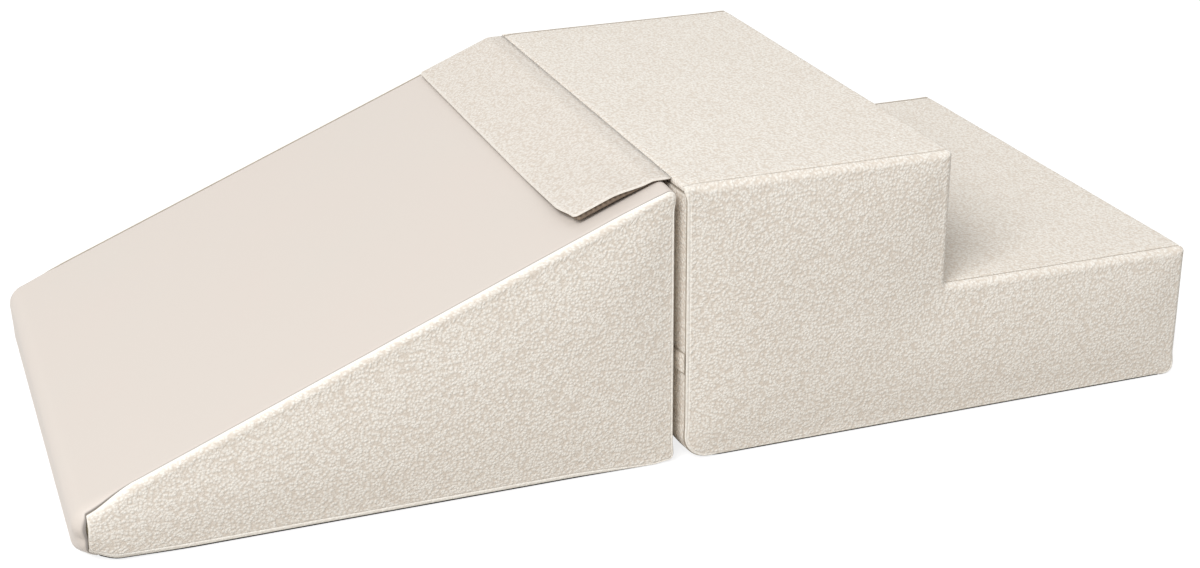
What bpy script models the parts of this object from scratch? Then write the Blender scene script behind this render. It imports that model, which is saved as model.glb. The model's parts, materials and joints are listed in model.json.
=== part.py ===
"""Soft play foam climber: a wedge slide and a two-step block, held together by a fabric flap.

Each module is a cut foam core in a zipped, sewn cover of flat panels. The frame is metres, +Z up,
with the origin on the floor at the centre of the footprint. +X runs from the slide's nose to the
low step, and -Y is the near side. Run it with Blender 4.5, in the background or in the text editor.
"""

import math

import bmesh
import bpy
from mathutils import Vector

# Modules
WIDTH = 0.600
HEIGHT = 0.308
TREAD_HEIGHT = 0.156
TOP_LENGTH = 0.304
TREAD_LENGTH = 0.304
SLIDE_LENGTH = 0.620
NOSE_HEIGHT = 0.056
MODULE_GAP = 0.005
SET_BACK = 0.004

# Rounding of the covered foam, seen from the side
CREST_ROUND = 0.012
NOSE_ROUND = 0.024
NOSE_FOOT_ROUND = 0.012
SLIDE_HEEL_ROUND = 0.014
STEP_SEAM_ROUND = 0.003
STEP_EDGE_ROUND = 0.012
STEP_FOLD_ROUND = 0.004
STEP_TOE_ROUND = 0.012
STEP_HEEL_ROUND = 0.030
SIDE_ROUND = 0.008

# Cover
PANEL = 0.0025
CLEAR = 0.0003
SIDE_SEAM = 0.009
UNDER_SEAM = 0.018
HEEL_SEAM = 0.034
SLIDE_TAIL = 0.034
TOP_TAIL = 0.008

# Zip in the face where each module meets the other
ZIP_HEIGHT = 0.113
ZIP_SLOT = 0.012
TAPE_WIDTH = 0.014
TAPE = 0.0006
COIL_WIDTH = 0.0026
COIL = 0.0018
COIL_PARTING = 0.0014
SLIDER_LENGTH = 0.012
SLIDER_WIDTH = 0.008
SLIDER_PLATE = 0.0012
SLIDER_POST = 0.0007
SLIDER_CLEAR = 0.0004
SLIDER_BEVEL = 0.0003
SLIDER_PARK = 0.004
FLY_HEIGHT = 0.024
FLY = 0.0015

# Flap
FLAP_LENGTH = 0.117
FLAP_NEAR_MARGIN = 0.035
FLAP_FAR_MARGIN = 0.012
FLAP_CORNER = 0.012
FLAP_OUTER = 0.0018
FLAP_LINING = 0.0007
LINING_MARGIN = 0.002
FLAP_LIFT = 0.006
FLAP_LIFT_RUN = 0.045
FLAP_LIFT_SPREAD = 0.170
HOOK_TAPE = 0.0010
HOOK_WIDTH = 0.040
HOOK_MARGIN = 0.008
HOOK_END_MARGIN = 0.010
LOOP_TAPE = 0.0010
LOOP_END_MARGIN = 0.014

# Mesh
ARC_STEP = math.radians(22.5)
SHARP_ANGLE = math.radians(30)
SIDE_SEGMENTS = 3
CORNER_SEGMENTS = 3
FLAP_BEND_SEGMENTS = 3
FLAP_SLOPE_SEGMENTS = 8
FLAP_WIDTH_SEGMENTS = 12
MERGE = 0.000001
CUT_OVERRUN = 0.002

# What follows from the sizes above
HALF_WIDTH = WIDTH / 2
STRIP_HALF = HALF_WIDTH - SIDE_SEAM - CLEAR
FOAM_INSET = PANEL + CLEAR
FLAP_STACK = LOOP_TAPE + HOOK_TAPE + FLAP_LINING + FLAP_OUTER + 4 * CLEAR
CREST_TOP = HEIGHT - FLAP_STACK - CLEAR
TOTAL_LENGTH = SLIDE_LENGTH + MODULE_GAP + TOP_LENGTH + TREAD_LENGTH
SLIDE_X = SLIDE_LENGTH - TOTAL_LENGTH / 2
STEPS_X = SLIDE_X + MODULE_GAP
SLIDE_Y = SET_BACK / 2
STEPS_Y = -SET_BACK / 2


def slope_angle():
    """The slope leaves the sharp nose corner and touches the rounded crest, whose top is CREST_TOP."""
    run = SLIDE_LENGTH - CREST_ROUND
    rise = CREST_TOP - CREST_ROUND - NOSE_HEIGHT
    return math.atan2(rise, run) + math.asin(CREST_ROUND / math.hypot(run, rise))


SLOPE = slope_angle()
CREST_CORNER = NOSE_HEIGHT + SLIDE_LENGTH * math.tan(SLOPE)
CREST_TANGENT = CREST_ROUND * math.tan((math.pi / 2 + SLOPE) / 2)

FLAP_FLAT = MODULE_GAP - CLEAR + CREST_ROUND
FLAP_RADIUS = CREST_ROUND + FLAP_STACK
FLAP_BEND = FLAP_RADIUS * SLOPE
FLAP_NEAR_Y = FLAP_NEAR_MARGIN - HALF_WIDTH
FLAP_FAR_Y = HALF_WIDTH - FLAP_FAR_MARGIN
LOOP_HALF = (FLAP_FAR_Y - FLAP_NEAR_Y) / 2 - LOOP_END_MARGIN
LOOP_Y = (FLAP_FAR_Y + FLAP_NEAR_Y) / 2 + STEPS_Y - SLIDE_Y


def material(name, colour, roughness, metallic=0.0):
    mat = bpy.data.materials.new(name)
    mat.use_nodes = True
    shader = mat.node_tree.nodes["Principled BSDF"]
    shader.inputs["Base Color"].default_value = (*colour, 1.0)
    shader.inputs["Roughness"].default_value = roughness
    shader.inputs["Metallic"].default_value = metallic
    mat.diffuse_color = (*colour, 1.0)
    return mat


def new_collection(name):
    made = bpy.data.collections.new(name)
    bpy.context.scene.collection.children.link(made)
    return made


def finish(bm, name, collection, parent, mat=None, location=(0, 0, 0)):
    """Makes an object of the mesh, with its faces outwards and its flat faces kept crisp."""
    bmesh.ops.remove_doubles(bm, verts=bm.verts, dist=MERGE)
    bmesh.ops.recalc_face_normals(bm, faces=bm.faces)
    mesh = bpy.data.meshes.new(name)
    bm.to_mesh(mesh)
    bm.free()
    mesh.shade_smooth()
    mesh.set_sharp_from_angle(angle=SHARP_ANGLE)
    if mat:
        mesh.materials.append(mat)
    obj = bpy.data.objects.new(name, mesh)
    obj.location = location
    obj.parent = parent
    collection.objects.link(obj)
    return obj


def rounded_outline(corners, radii, inset=0.0, closed=True):
    """An anticlockwise outline in X and Z, moved inwards by inset, with an arc at each corner.

    A corner gives the same number of points at any inset, so that outlines can be lofted.
    """
    points = [Vector(corner) for corner in corners]
    count = len(points)
    outline = []
    for i, here in enumerate(points):
        before = (here - points[i - 1]).normalized()
        after = (points[(i + 1) % count] - here).normalized()
        if not closed and i in (0, count - 1):
            along = after if i == 0 else before
            outline.append(here + inset * Vector((-along.y, along.x)))
            continue
        left_before = Vector((-before.y, before.x))
        left_after = Vector((-after.y, after.x))
        moved = here + (left_before + left_after) * inset / (1 + left_before.dot(left_after))
        turn = math.atan2(before.x * after.y - before.y * after.x, before.dot(after))
        side = math.copysign(1, turn)
        radius = max(radii[i] - side * inset, 0.0)
        steps = max(1, math.ceil(abs(turn) / ARC_STEP))
        start = moved - before * radius * math.tan(abs(turn) / 2)
        centre = start + side * radius * left_before
        for k in range(steps + 1):
            angle = turn * k / steps
            spoke = start - centre
            turned = Vector((
                spoke.x * math.cos(angle) - spoke.y * math.sin(angle),
                spoke.x * math.sin(angle) + spoke.y * math.cos(angle),
            ))
            outline.append(centre + turned)
    return outline


def add_ring(bm, outline, y):
    return [bm.verts.new((point.x, y, point.y)) for point in outline]


def loft(bm, rings):
    """Walls between rings of equal length, with the first and the last ring filled."""
    for lower, upper in zip(rings, rings[1:]):
        for i in range(len(lower)):
            j = (i + 1) % len(lower)
            bm.faces.new((lower[i], lower[j], upper[j], upper[i]))
    bm.faces.new(rings[0])
    bm.faces.new(rings[-1])


def side_rings(bm, shape, inset, side):
    """The rings that round the block over to one side, from the flat side face inwards."""
    corners, radii = shape
    radius = max(SIDE_ROUND - inset, 0.0)
    rings = []
    for k in range(SIDE_SEGMENTS, -1, -1):
        angle = math.pi / 2 * k / SIDE_SEGMENTS
        outline = rounded_outline(corners, radii, inset + radius * (1 - math.cos(angle)))
        y = HALF_WIDTH - inset - radius * (1 - math.sin(angle))
        rings.append(add_ring(bm, outline, side * y))
    return rings


def foam_block(name, shape, collection, parent, mat):
    """A closed block inside the cover, rounded over at both sides."""
    bm = bmesh.new()
    near = side_rings(bm, shape, FOAM_INSET, -1)
    far = side_rings(bm, shape, FOAM_INSET, 1)
    loft(bm, near + far[::-1])
    return finish(bm, name, collection, parent, mat)


def side_panel(name, shape, side, collection, parent, mat):
    """A dished panel: the side of the module, wrapped over its edges as far as the seam."""
    corners, radii = shape
    seam_y = side * (HALF_WIDTH - SIDE_SEAM)
    bm = bmesh.new()
    outside = side_rings(bm, shape, 0.0, side)
    outside.append(add_ring(bm, rounded_outline(corners, radii), seam_y))
    inside = side_rings(bm, shape, PANEL, side)
    inside.append(add_ring(bm, rounded_outline(corners, radii, PANEL), seam_y))
    loft(bm, outside + inside[::-1])
    return finish(bm, name, collection, parent, mat)


def strip_panel(name, path, radii, collection, parent, mat):
    """A panel that runs the width of the module between the side seams, bent along a path."""
    outside = rounded_outline(path, radii, closed=False)
    inside = rounded_outline(path, radii, PANEL, closed=False)
    bm = bmesh.new()
    face = bm.faces.new(add_ring(bm, outside + inside[::-1], -STRIP_HALF))
    made = bmesh.ops.extrude_face_region(bm, geom=[face])
    moved = [item for item in made["geom"] if isinstance(item, bmesh.types.BMVert)]
    bmesh.ops.translate(bm, verts=moved, vec=(0, 2 * STRIP_HALF, 0))
    return finish(bm, name, collection, parent, mat)


def box(name, low, high, collection, parent, mat=None, location=(0, 0, 0)):
    bm = bmesh.new()
    bmesh.ops.create_cube(bm, size=1)
    size = Vector(high) - Vector(low)
    bmesh.ops.scale(bm, vec=size, verts=bm.verts)
    bmesh.ops.translate(bm, vec=Vector(low) + size / 2, verts=bm.verts)
    return finish(bm, name, collection, parent, mat, location)


def cut(obj, cutter):
    """Cuts the cutter out of the object, and keeps the cutter as a guide."""
    cutter.hide_render = True
    cutter.display_type = "WIRE"
    modifier = obj.modifiers.new(cutter.name, "BOOLEAN")
    modifier.operation = "DIFFERENCE"
    modifier.solver = "EXACT"
    modifier.object = cutter


def zip_depths():
    """How deep each layer of the zip lies behind the cover's face: tape, coil and slider."""
    tape_top = PANEL + CLEAR
    coil_top = tape_top + TAPE + CLEAR
    slider_top = tape_top - SLIDER_CLEAR - SLIDER_PLATE
    slider_bottom = coil_top + COIL + SLIDER_CLEAR + SLIDER_PLATE
    return tape_top, coil_top, slider_top, slider_bottom


def zip_box(name, inward, depths, heights, half, collection, parent, mat=None):
    """A box whose depth is counted inwards from the module's meeting face."""
    xs = sorted(inward * depth for depth in depths)
    low = (xs[0], -half, heights[0])
    high = (xs[1], half, heights[1])
    return box(name, low, high, collection, parent, mat)


def zip_slider(name, inward, collection, parent, mat):
    """Two plates joined by the post that runs between the two coils, with no pull tab."""
    tape_top, _, top, bottom = zip_depths()
    inner_plate = bottom - SLIDER_PLATE
    outer_plate = tape_top - SLIDER_CLEAR
    half = SLIDER_WIDTH / 2
    post = SLIDER_POST / 2
    section = [
        (top, -half), (outer_plate, -half), (outer_plate, -post), (inner_plate, -post),
        (inner_plate, -half), (bottom, -half), (bottom, half), (inner_plate, half),
        (inner_plate, post), (outer_plate, post), (outer_plate, half), (top, half),
    ]
    outline = [Vector((inward * depth, height)) for depth, height in section]
    bm = bmesh.new()
    face = bm.faces.new(add_ring(bm, outline, -SLIDER_LENGTH / 2))
    made = bmesh.ops.extrude_face_region(bm, geom=[face])
    moved = [item for item in made["geom"] if isinstance(item, bmesh.types.BMVert)]
    bmesh.ops.translate(bm, verts=moved, vec=(0, SLIDER_LENGTH, 0))
    rest_y = STRIP_HALF - SLIDER_PARK - SLIDER_LENGTH / 2
    slider = finish(bm, name, collection, parent, mat, (0, rest_y, ZIP_HEIGHT))
    bevel = slider.modifiers.new("softened", "BEVEL")
    bevel.width = SLIDER_BEVEL
    bevel.segments = 1
    bevel.limit_method = "ANGLE"
    return slider


def add_zip(module, inward, foams, parts, cutters, parent, mats):
    """Tapes behind the panel edges, a coil on each, a slider, and a fly that hides the slot."""
    tape_top, coil_top, _, slider_bottom = zip_depths()
    tape_back = tape_top + TAPE
    parting = COIL_PARTING / 2
    for name, side in (("upper", 1), ("lower", -1)):
        edges = sorted(ZIP_HEIGHT + side * reach for reach in (parting, parting + TAPE_WIDTH))
        zip_box(f"{module}_zip_tape_{name}", inward, (tape_top, tape_back), edges,
                STRIP_HALF, parts, parent, mats["tape"])
        edges = sorted(ZIP_HEIGHT + side * reach for reach in (parting, parting + COIL_WIDTH))
        zip_box(f"{module}_zip_coil_{name}", inward, (coil_top, coil_top + COIL), edges,
                STRIP_HALF, parts, parent, mats["coil"])
    zip_slider(f"{module}_zip_slider", inward, parts, parent, mats["slider"])

    fly_edges = (ZIP_HEIGHT - FLY_HEIGHT / 2, ZIP_HEIGHT + FLY_HEIGHT / 2)
    zip_box(f"{module}_zip_fly", inward, (-CLEAR - FLY, -CLEAR), fly_edges,
            STRIP_HALF, parts, parent, mats["boucle"])

    reach = parting + TAPE_WIDTH + CLEAR
    tape_room = zip_box(f"{module}_tape_room", inward, (-CUT_OVERRUN, tape_back + CLEAR),
                        (ZIP_HEIGHT - reach, ZIP_HEIGHT + reach), STRIP_HALF + CLEAR, cutters, parent)
    reach = SLIDER_WIDTH / 2 + SLIDER_CLEAR
    slider_room = zip_box(f"{module}_slider_room", inward, (-CUT_OVERRUN, slider_bottom + CLEAR),
                          (ZIP_HEIGHT - reach, ZIP_HEIGHT + reach), STRIP_HALF + CLEAR, cutters, parent)
    for foam in foams:
        cut(foam, tape_room)
        cut(foam, slider_room)


def add_slide(parts, cutters, parent, mats):
    """The wedge. Its face at x = 0 meets the steps, and it runs down towards -X."""
    heel = (0, 0)
    crest = (0, CREST_CORNER)
    nose = (-SLIDE_LENGTH, NOSE_HEIGHT)
    foot = (-SLIDE_LENGTH, 0)
    shape = (
        (heel, crest, nose, foot),
        (SLIDE_HEEL_ROUND, CREST_ROUND, NOSE_ROUND, NOSE_FOOT_ROUND),
    )
    foam = foam_block("slide_foam_core", shape, parts, parent, mats["foam"])
    side_panel("slide_side_panel_near", shape, -1, parts, parent, mats["boucle"])
    side_panel("slide_side_panel_far", shape, 1, parts, parent, mats["boucle"])

    seam = CLEAR / 2
    slide_seam = CREST_CORNER - SLIDE_TAIL
    base_nose = UNDER_SEAM - SLIDE_LENGTH
    zip_low = ZIP_HEIGHT - ZIP_SLOT / 2
    zip_high = ZIP_HEIGHT + ZIP_SLOT / 2
    strip_panel(
        "slide_surface_panel",
        ((0, slide_seam + seam), crest, nose, foot, (base_nose - seam, 0)),
        (0, CREST_ROUND, NOSE_ROUND, NOSE_FOOT_ROUND, 0),
        parts, parent, mats["leatherette"],
    )
    strip_panel(
        "slide_base_panel", ((base_nose + seam, 0), (-HEEL_SEAM - seam, 0)), (0, 0),
        parts, parent, mats["base"],
    )
    strip_panel(
        "slide_back_panel_lower", ((-HEEL_SEAM + seam, 0), heel, (0, zip_low)),
        (0, SLIDE_HEEL_ROUND, 0), parts, parent, mats["boucle"],
    )
    strip_panel(
        "slide_back_panel_upper", ((0, zip_high), (0, slide_seam - seam)), (0, 0),
        parts, parent, mats["boucle"],
    )
    add_zip("slide", -1, (foam,), parts, cutters, parent, mats)

    hook_end = FLAP_LENGTH - HOOK_MARGIN - FLAP_FLAT - FLAP_BEND + CREST_TANGENT
    along = hook_end - HOOK_WIDTH / 2
    loop = box(
        "slide_loop_tape", (-HOOK_WIDTH / 2, -LOOP_HALF, CLEAR),
        (HOOK_WIDTH / 2, LOOP_HALF, CLEAR + LOOP_TAPE), parts, parent, mats["tape"],
        (-along * math.cos(SLOPE), LOOP_Y, CREST_CORNER - along * math.sin(SLOPE)),
    )
    loop.rotation_euler.y = -SLOPE


def add_steps(parts, cutters, parent, mats):
    """The step block. Its face at x = 0 meets the slide, and it runs towards +X."""
    length = TOP_LENGTH + TREAD_LENGTH
    heel = (0, 0)
    toe = (length, 0)
    tread_edge = (length, TREAD_HEIGHT)
    fold = (TOP_LENGTH, TREAD_HEIGHT)
    top_edge = (TOP_LENGTH, HEIGHT)
    top_seam = (0, HEIGHT)
    shape = (
        (heel, toe, tread_edge, fold, top_edge, top_seam),
        (STEP_HEEL_ROUND, STEP_TOE_ROUND, STEP_EDGE_ROUND, STEP_FOLD_ROUND, STEP_EDGE_ROUND,
         STEP_SEAM_ROUND),
    )
    side_panel("steps_side_panel_near", shape, -1, parts, parent, mats["boucle"])
    side_panel("steps_side_panel_far", shape, 1, parts, parent, mats["boucle"])

    lower = (
        (heel, toe, tread_edge, (0, TREAD_HEIGHT)),
        (STEP_HEEL_ROUND, STEP_TOE_ROUND, STEP_EDGE_ROUND, 0),
    )
    foam_lower = foam_block("steps_foam_lower", lower, parts, parent, mats["foam"])
    joint = TREAD_HEIGHT - FOAM_INSET + CLEAR - FOAM_INSET
    upper = (
        ((0, joint), (TOP_LENGTH, joint), top_edge, top_seam),
        (0, 0, STEP_EDGE_ROUND, STEP_SEAM_ROUND),
    )
    foam_upper = foam_block("steps_foam_upper", upper, parts, parent, mats["foam"])

    seam = CLEAR / 2
    base_toe = length - UNDER_SEAM
    back_seam = HEIGHT - TOP_TAIL
    zip_low = ZIP_HEIGHT - ZIP_SLOT / 2
    zip_high = ZIP_HEIGHT + ZIP_SLOT / 2
    strip_panel(
        "steps_top_panel",
        ((base_toe + seam, 0), toe, tread_edge, fold, top_edge, top_seam, (0, back_seam + seam)),
        (0, STEP_TOE_ROUND, STEP_EDGE_ROUND, STEP_FOLD_ROUND, STEP_EDGE_ROUND, STEP_SEAM_ROUND, 0),
        parts, parent, mats["boucle"],
    )
    strip_panel(
        "steps_base_panel", ((HEEL_SEAM + seam, 0), (base_toe - seam, 0)), (0, 0),
        parts, parent, mats["base"],
    )
    strip_panel(
        "steps_back_panel_lower", ((0, zip_low), heel, (HEEL_SEAM - seam, 0)),
        (0, STEP_HEEL_ROUND, 0), parts, parent, mats["boucle"],
    )
    strip_panel(
        "steps_back_panel_upper", ((0, back_seam - seam), (0, zip_high)), (0, 0),
        parts, parent, mats["boucle"],
    )
    add_zip("steps", 1, (foam_lower, foam_upper), parts, cutters, parent, mats)


def smooth(value):
    value = min(max(value, 0.0), 1.0)
    return value * value * (3 - 2 * value)


def flap_point(along, y, depth):
    """A point of the flap, from its hinge: along its top, then down into it by depth.

    The flap runs level over the gap, bends round the crest and lies along the slope. Near its near
    edge it stands off the slope.
    """
    bent = min(max(along - FLAP_FLAT, 0.0) / FLAP_BEND, 1.0) * SLOPE
    straight = max(along - FLAP_FLAT - FLAP_BEND, 0.0)
    level = min(along, FLAP_FLAT)
    lift = FLAP_LIFT * smooth(straight / FLAP_LIFT_RUN)
    lift *= 1 - smooth((y - FLAP_NEAR_Y) / FLAP_LIFT_SPREAD)
    radius = FLAP_RADIUS - depth + lift
    x = -level - radius * math.sin(bent) - straight * math.cos(bent)
    z = -CLEAR - FLAP_RADIUS + radius * math.cos(bent) - straight * math.sin(bent)
    return Vector((x, y, z))


def flap_layer(name, start, end, margins, corner, depth, thickness, collection, parent, mat):
    """One cloth of the flap, as an open sheet with its thickness downwards."""
    near = FLAP_NEAR_Y + margins
    far = FLAP_FAR_Y - margins
    stations = [start]
    if start < FLAP_FLAT:
        bends = range(FLAP_BEND_SEGMENTS + 1)
        stations += [FLAP_FLAT + FLAP_BEND * k / FLAP_BEND_SEGMENTS for k in bends]
    first = stations[-1]
    slope_shares = [(k + 1) / FLAP_SLOPE_SEGMENTS for k in range(FLAP_SLOPE_SEGMENTS)]

    columns = []
    for k in range(CORNER_SEGMENTS):
        angle = math.pi / 2 * k / CORNER_SEGMENTS
        columns.append((near + corner * (1 - math.cos(angle)), corner * (1 - math.sin(angle))))
    inner = far - near - 2 * corner
    for k in range(FLAP_WIDTH_SEGMENTS + 1):
        columns.append((near + corner + inner * k / FLAP_WIDTH_SEGMENTS, 0.0))
    for k in range(CORNER_SEGMENTS - 1, -1, -1):
        angle = math.pi / 2 * k / CORNER_SEGMENTS
        columns.append((far - corner * (1 - math.cos(angle)), corner * (1 - math.sin(angle))))

    rows = len(stations) + len(slope_shares)
    bm = bmesh.new()
    bmesh.ops.create_grid(bm, x_segments=rows - 1, y_segments=len(columns) - 1, size=1)
    for vert in bm.verts:
        row = round((1 - vert.co.x) / 2 * (rows - 1))
        column = round((1 + vert.co.y) / 2 * (len(columns) - 1))
        y, short = columns[column]
        if row < len(stations):
            along = stations[row]
        else:
            along = first + (end - short - first) * slope_shares[row - len(stations)]
        vert.co = flap_point(along, y, depth)
    sheet = finish(bm, name, collection, parent, mat)
    if sheet.data.polygons[0].normal.z < 0:
        sheet.data.flip_normals()
    shell = sheet.modifiers.new("thickness", "SOLIDIFY")
    shell.thickness = thickness
    shell.offset = -1
    shell.use_even_offset = True
    return sheet


def add_flap(parts, parent, mats):
    """Outer cloth, lining and hook tape, sewn in at the seam where the top meets the meeting face."""
    flap_layer(
        "flap_outer", 0.0, FLAP_LENGTH, 0.0, FLAP_CORNER, 0.0, FLAP_OUTER,
        parts, parent, mats["boucle"],
    )
    lining_depth = FLAP_OUTER + CLEAR
    flap_layer(
        "flap_lining", 0.0, FLAP_LENGTH - LINING_MARGIN, LINING_MARGIN,
        FLAP_CORNER - LINING_MARGIN, lining_depth, FLAP_LINING, parts, parent, mats["lining"],
    )
    hook_end = FLAP_LENGTH - HOOK_MARGIN
    flap_layer(
        "flap_hook_tape", hook_end - HOOK_WIDTH, hook_end, HOOK_END_MARGIN, 0.0,
        lining_depth + FLAP_LINING + CLEAR, HOOK_TAPE, parts, parent, mats["tape"],
    )


def frame_at(name, location, collection, parent=None):
    empty = bpy.data.objects.new(name, None)
    empty.location = location
    empty.parent = parent
    collection.objects.link(empty)
    return empty


def build():
    for obj in list(bpy.data.objects):
        bpy.data.objects.remove(obj, do_unlink=True)
    parts = new_collection("foam_climber")
    cutters = new_collection("cutters")
    mats = {
        "boucle": material("boucle", (0.78, 0.74, 0.68), 0.95),
        "leatherette": material("leatherette", (0.82, 0.77, 0.72), 0.45),
        "base": material("anti_slip_base", (0.10, 0.09, 0.08), 0.85),
        "foam": material("foam", (0.85, 0.80, 0.62), 0.95),
        "tape": material("woven_tape", (0.66, 0.61, 0.55), 0.85),
        "coil": material("nylon_coil", (0.62, 0.58, 0.53), 0.40),
        "slider": material("zip_slider", (0.55, 0.54, 0.52), 0.35, 1.0),
        "lining": material("flap_lining", (0.40, 0.34, 0.29), 0.90),
    }
    slide_frame = frame_at("slide_frame", (SLIDE_X, SLIDE_Y, 0), parts)
    steps_frame = frame_at("steps_frame", (STEPS_X, STEPS_Y, 0), parts)
    flap_hinge = frame_at("flap_hinge", (-CLEAR, 0, HEIGHT), parts, steps_frame)
    add_slide(parts, cutters, slide_frame, mats)
    add_steps(parts, cutters, steps_frame, mats)
    add_flap(parts, flap_hinge, mats)
    bpy.context.view_layer.update()


build()
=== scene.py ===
# %% [markdown]
# A foam climber for toddlers: a wedge slide and a block of two steps, held together by a cloth flap.
# Each module is a block of foam in a zipped cover, sewn from flat panels of boucle, leatherette and
# a dark base cloth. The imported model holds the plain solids. This lesson dresses them: every panel
# becomes a cloth that rolls into its seams, and every piece gets the finish of the real one.

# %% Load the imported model
import json
import math

import bmesh
import bpy
from mathutils import Matrix, Vector, noise
from mathutils.kdtree import KDTree


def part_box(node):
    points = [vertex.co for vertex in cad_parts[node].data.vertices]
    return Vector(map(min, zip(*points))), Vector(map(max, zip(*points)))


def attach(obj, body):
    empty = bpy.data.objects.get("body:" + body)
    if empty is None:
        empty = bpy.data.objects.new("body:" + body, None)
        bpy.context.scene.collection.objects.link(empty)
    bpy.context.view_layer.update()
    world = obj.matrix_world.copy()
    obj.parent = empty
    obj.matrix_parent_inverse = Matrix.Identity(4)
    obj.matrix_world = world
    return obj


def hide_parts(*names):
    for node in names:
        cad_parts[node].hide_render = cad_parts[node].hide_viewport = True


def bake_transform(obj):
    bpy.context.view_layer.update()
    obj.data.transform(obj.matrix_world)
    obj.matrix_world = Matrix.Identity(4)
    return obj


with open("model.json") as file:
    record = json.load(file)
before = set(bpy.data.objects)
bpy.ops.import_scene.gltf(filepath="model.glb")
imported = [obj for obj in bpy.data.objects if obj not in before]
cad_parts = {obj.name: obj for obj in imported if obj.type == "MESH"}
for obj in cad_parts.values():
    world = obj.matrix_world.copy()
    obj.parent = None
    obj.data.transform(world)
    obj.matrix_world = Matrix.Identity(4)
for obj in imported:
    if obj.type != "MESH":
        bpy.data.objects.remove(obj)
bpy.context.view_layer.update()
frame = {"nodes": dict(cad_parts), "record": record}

MM = 0.001

# %% [markdown]
# The camera stands where the photograph was taken from. Its place and lens were found by matching
# about twenty straight edges of the climber, so the picture lines up with the photograph. A camera
# looks down its own -Z axis, so it is first tipped up to the horizon and then turned.

# %% Camera
CAMERA_PLACE = (-0.7424, -2.0955, 1.0242)
CAMERA_AZIMUTH = math.radians(-20.21)
CAMERA_ELEVATION = math.radians(22.87)
CAMERA_ROLL = math.radians(-0.41)
LENS_MM = 62.37
SENSOR_MM = 36

camera_data = bpy.data.cameras.new("camera")
camera_data.lens = LENS_MM
camera_data.sensor_width = SENSOR_MM
camera = bpy.data.objects.new("camera", camera_data)
bpy.context.scene.collection.objects.link(camera)
turned = Matrix.Rotation(CAMERA_AZIMUTH, 4, "Z")
tipped = Matrix.Rotation(math.pi / 2 - CAMERA_ELEVATION, 4, "X")
rolled = Matrix.Rotation(CAMERA_ROLL, 4, "Z")
camera.matrix_world = Matrix.Translation(CAMERA_PLACE) @ turned @ tipped @ rolled
bpy.context.scene.camera = camera
print("the camera stands at", CAMERA_PLACE)

# %% [markdown]
# A material is a small graph of nodes. One function turns a colour from a colour picker, which is an
# sRGB hex value, into the linear numbers that the renderer adds up. Another adds a node: it takes
# the node's settings, and for each socket either a number or the output that feeds it. Every
# finish below is made with these two.

# %% Helpers for materials
LINEAR_BREAK = 0.04045


def linear(code):
    """The linear colour of an sRGB hex value, with an alpha of 1."""
    levels = [int(code[i:i + 2], 16) / 255 for i in (0, 2, 4)]
    return [v / 12.92 if v <= LINEAR_BREAK else ((v + 0.055) / 1.055) ** 2.4 for v in levels] + [1]


def add(owner, kind, settings, links):
    """Adds a node to a material or world, and gives its sockets a value or the output that feeds them."""
    made = owner.node_tree.nodes.new(kind)
    for name, value in settings.items():
        setattr(made, name, value)
    for socket, value in links.items():
        if isinstance(value, bpy.types.NodeSocket):
            owner.node_tree.links.new(value, made.inputs[socket])
        else:
            made.inputs[socket].default_value = value
    return made


def new_material(name, roughness, metallic=0.0):
    mat = bpy.data.materials.new(name)
    mat.use_nodes = True
    shader = mat.node_tree.nodes["Principled BSDF"]
    shader.inputs["Roughness"].default_value = roughness
    shader.inputs["Metallic"].default_value = metallic
    return mat, shader


def plug(mat, output, shader, socket):
    mat.node_tree.links.new(output, shader.inputs[socket])


MIX_A, MIX_B, MIX_OUT = 6, 7, 2
print("cream in linear light:", [round(v, 3) for v in linear("E9E4DA")])

# %% [markdown]
# The light is that of a plain studio: a large soft lamp high up, to the left and in front, and an even
# grey world that fills the shade. A white sheet facing the lamp renders just under white, so each
# colour renders about as it is written. The floor and the world look white to the camera and in
# reflections, but they light the object with their own plainer colour, and the floor keeps a faint
# shadow.

# %% Lamps, world and floor
SKY = 0.535
KEY_PLACE = Vector((-5.0, -4.7, 6.5))
KEY_AIM = Vector((0.0, 0.0, 0.1))
KEY_SIZE = 4.8
KEY_WATTS = 612
FLOOR_SIZE = 16
FLOOR_COLOUR = linear("B4B1AD")
FLOOR_GLOW = 0.82
FLOOR_SHADE = linear("9A9A9A")
WHITE = (1, 1, 1, 1)


def soft_lamp(name, place, aim, size, watts):
    data = bpy.data.lights.new(name, "AREA")
    data.shape = "SQUARE"
    data.size = size
    data.energy = watts
    lamp = bpy.data.objects.new(name, data)
    bpy.context.scene.collection.objects.link(lamp)
    turn = (aim - place).to_track_quat("-Z", "Y")
    lamp.matrix_world = Matrix.Translation(place) @ turn.to_matrix().to_4x4()


def seen_directly(owner):
    """1 for rays from the camera, off a mirror or through glass, and 0 for rays that light a surface."""
    path = add(owner, "ShaderNodeLightPath", {}, {})
    either = add(owner, "ShaderNodeMath", {"operation": "MAXIMUM"}, {
        0: path.outputs["Is Camera Ray"], 1: path.outputs["Is Glossy Ray"]})
    return add(owner, "ShaderNodeMath", {"operation": "MAXIMUM"}, {
        0: either.outputs[0], 1: path.outputs["Is Transmission Ray"]}).outputs[0]


soft_lamp("key_lamp", KEY_PLACE, KEY_AIM, KEY_SIZE, KEY_WATTS)

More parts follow.
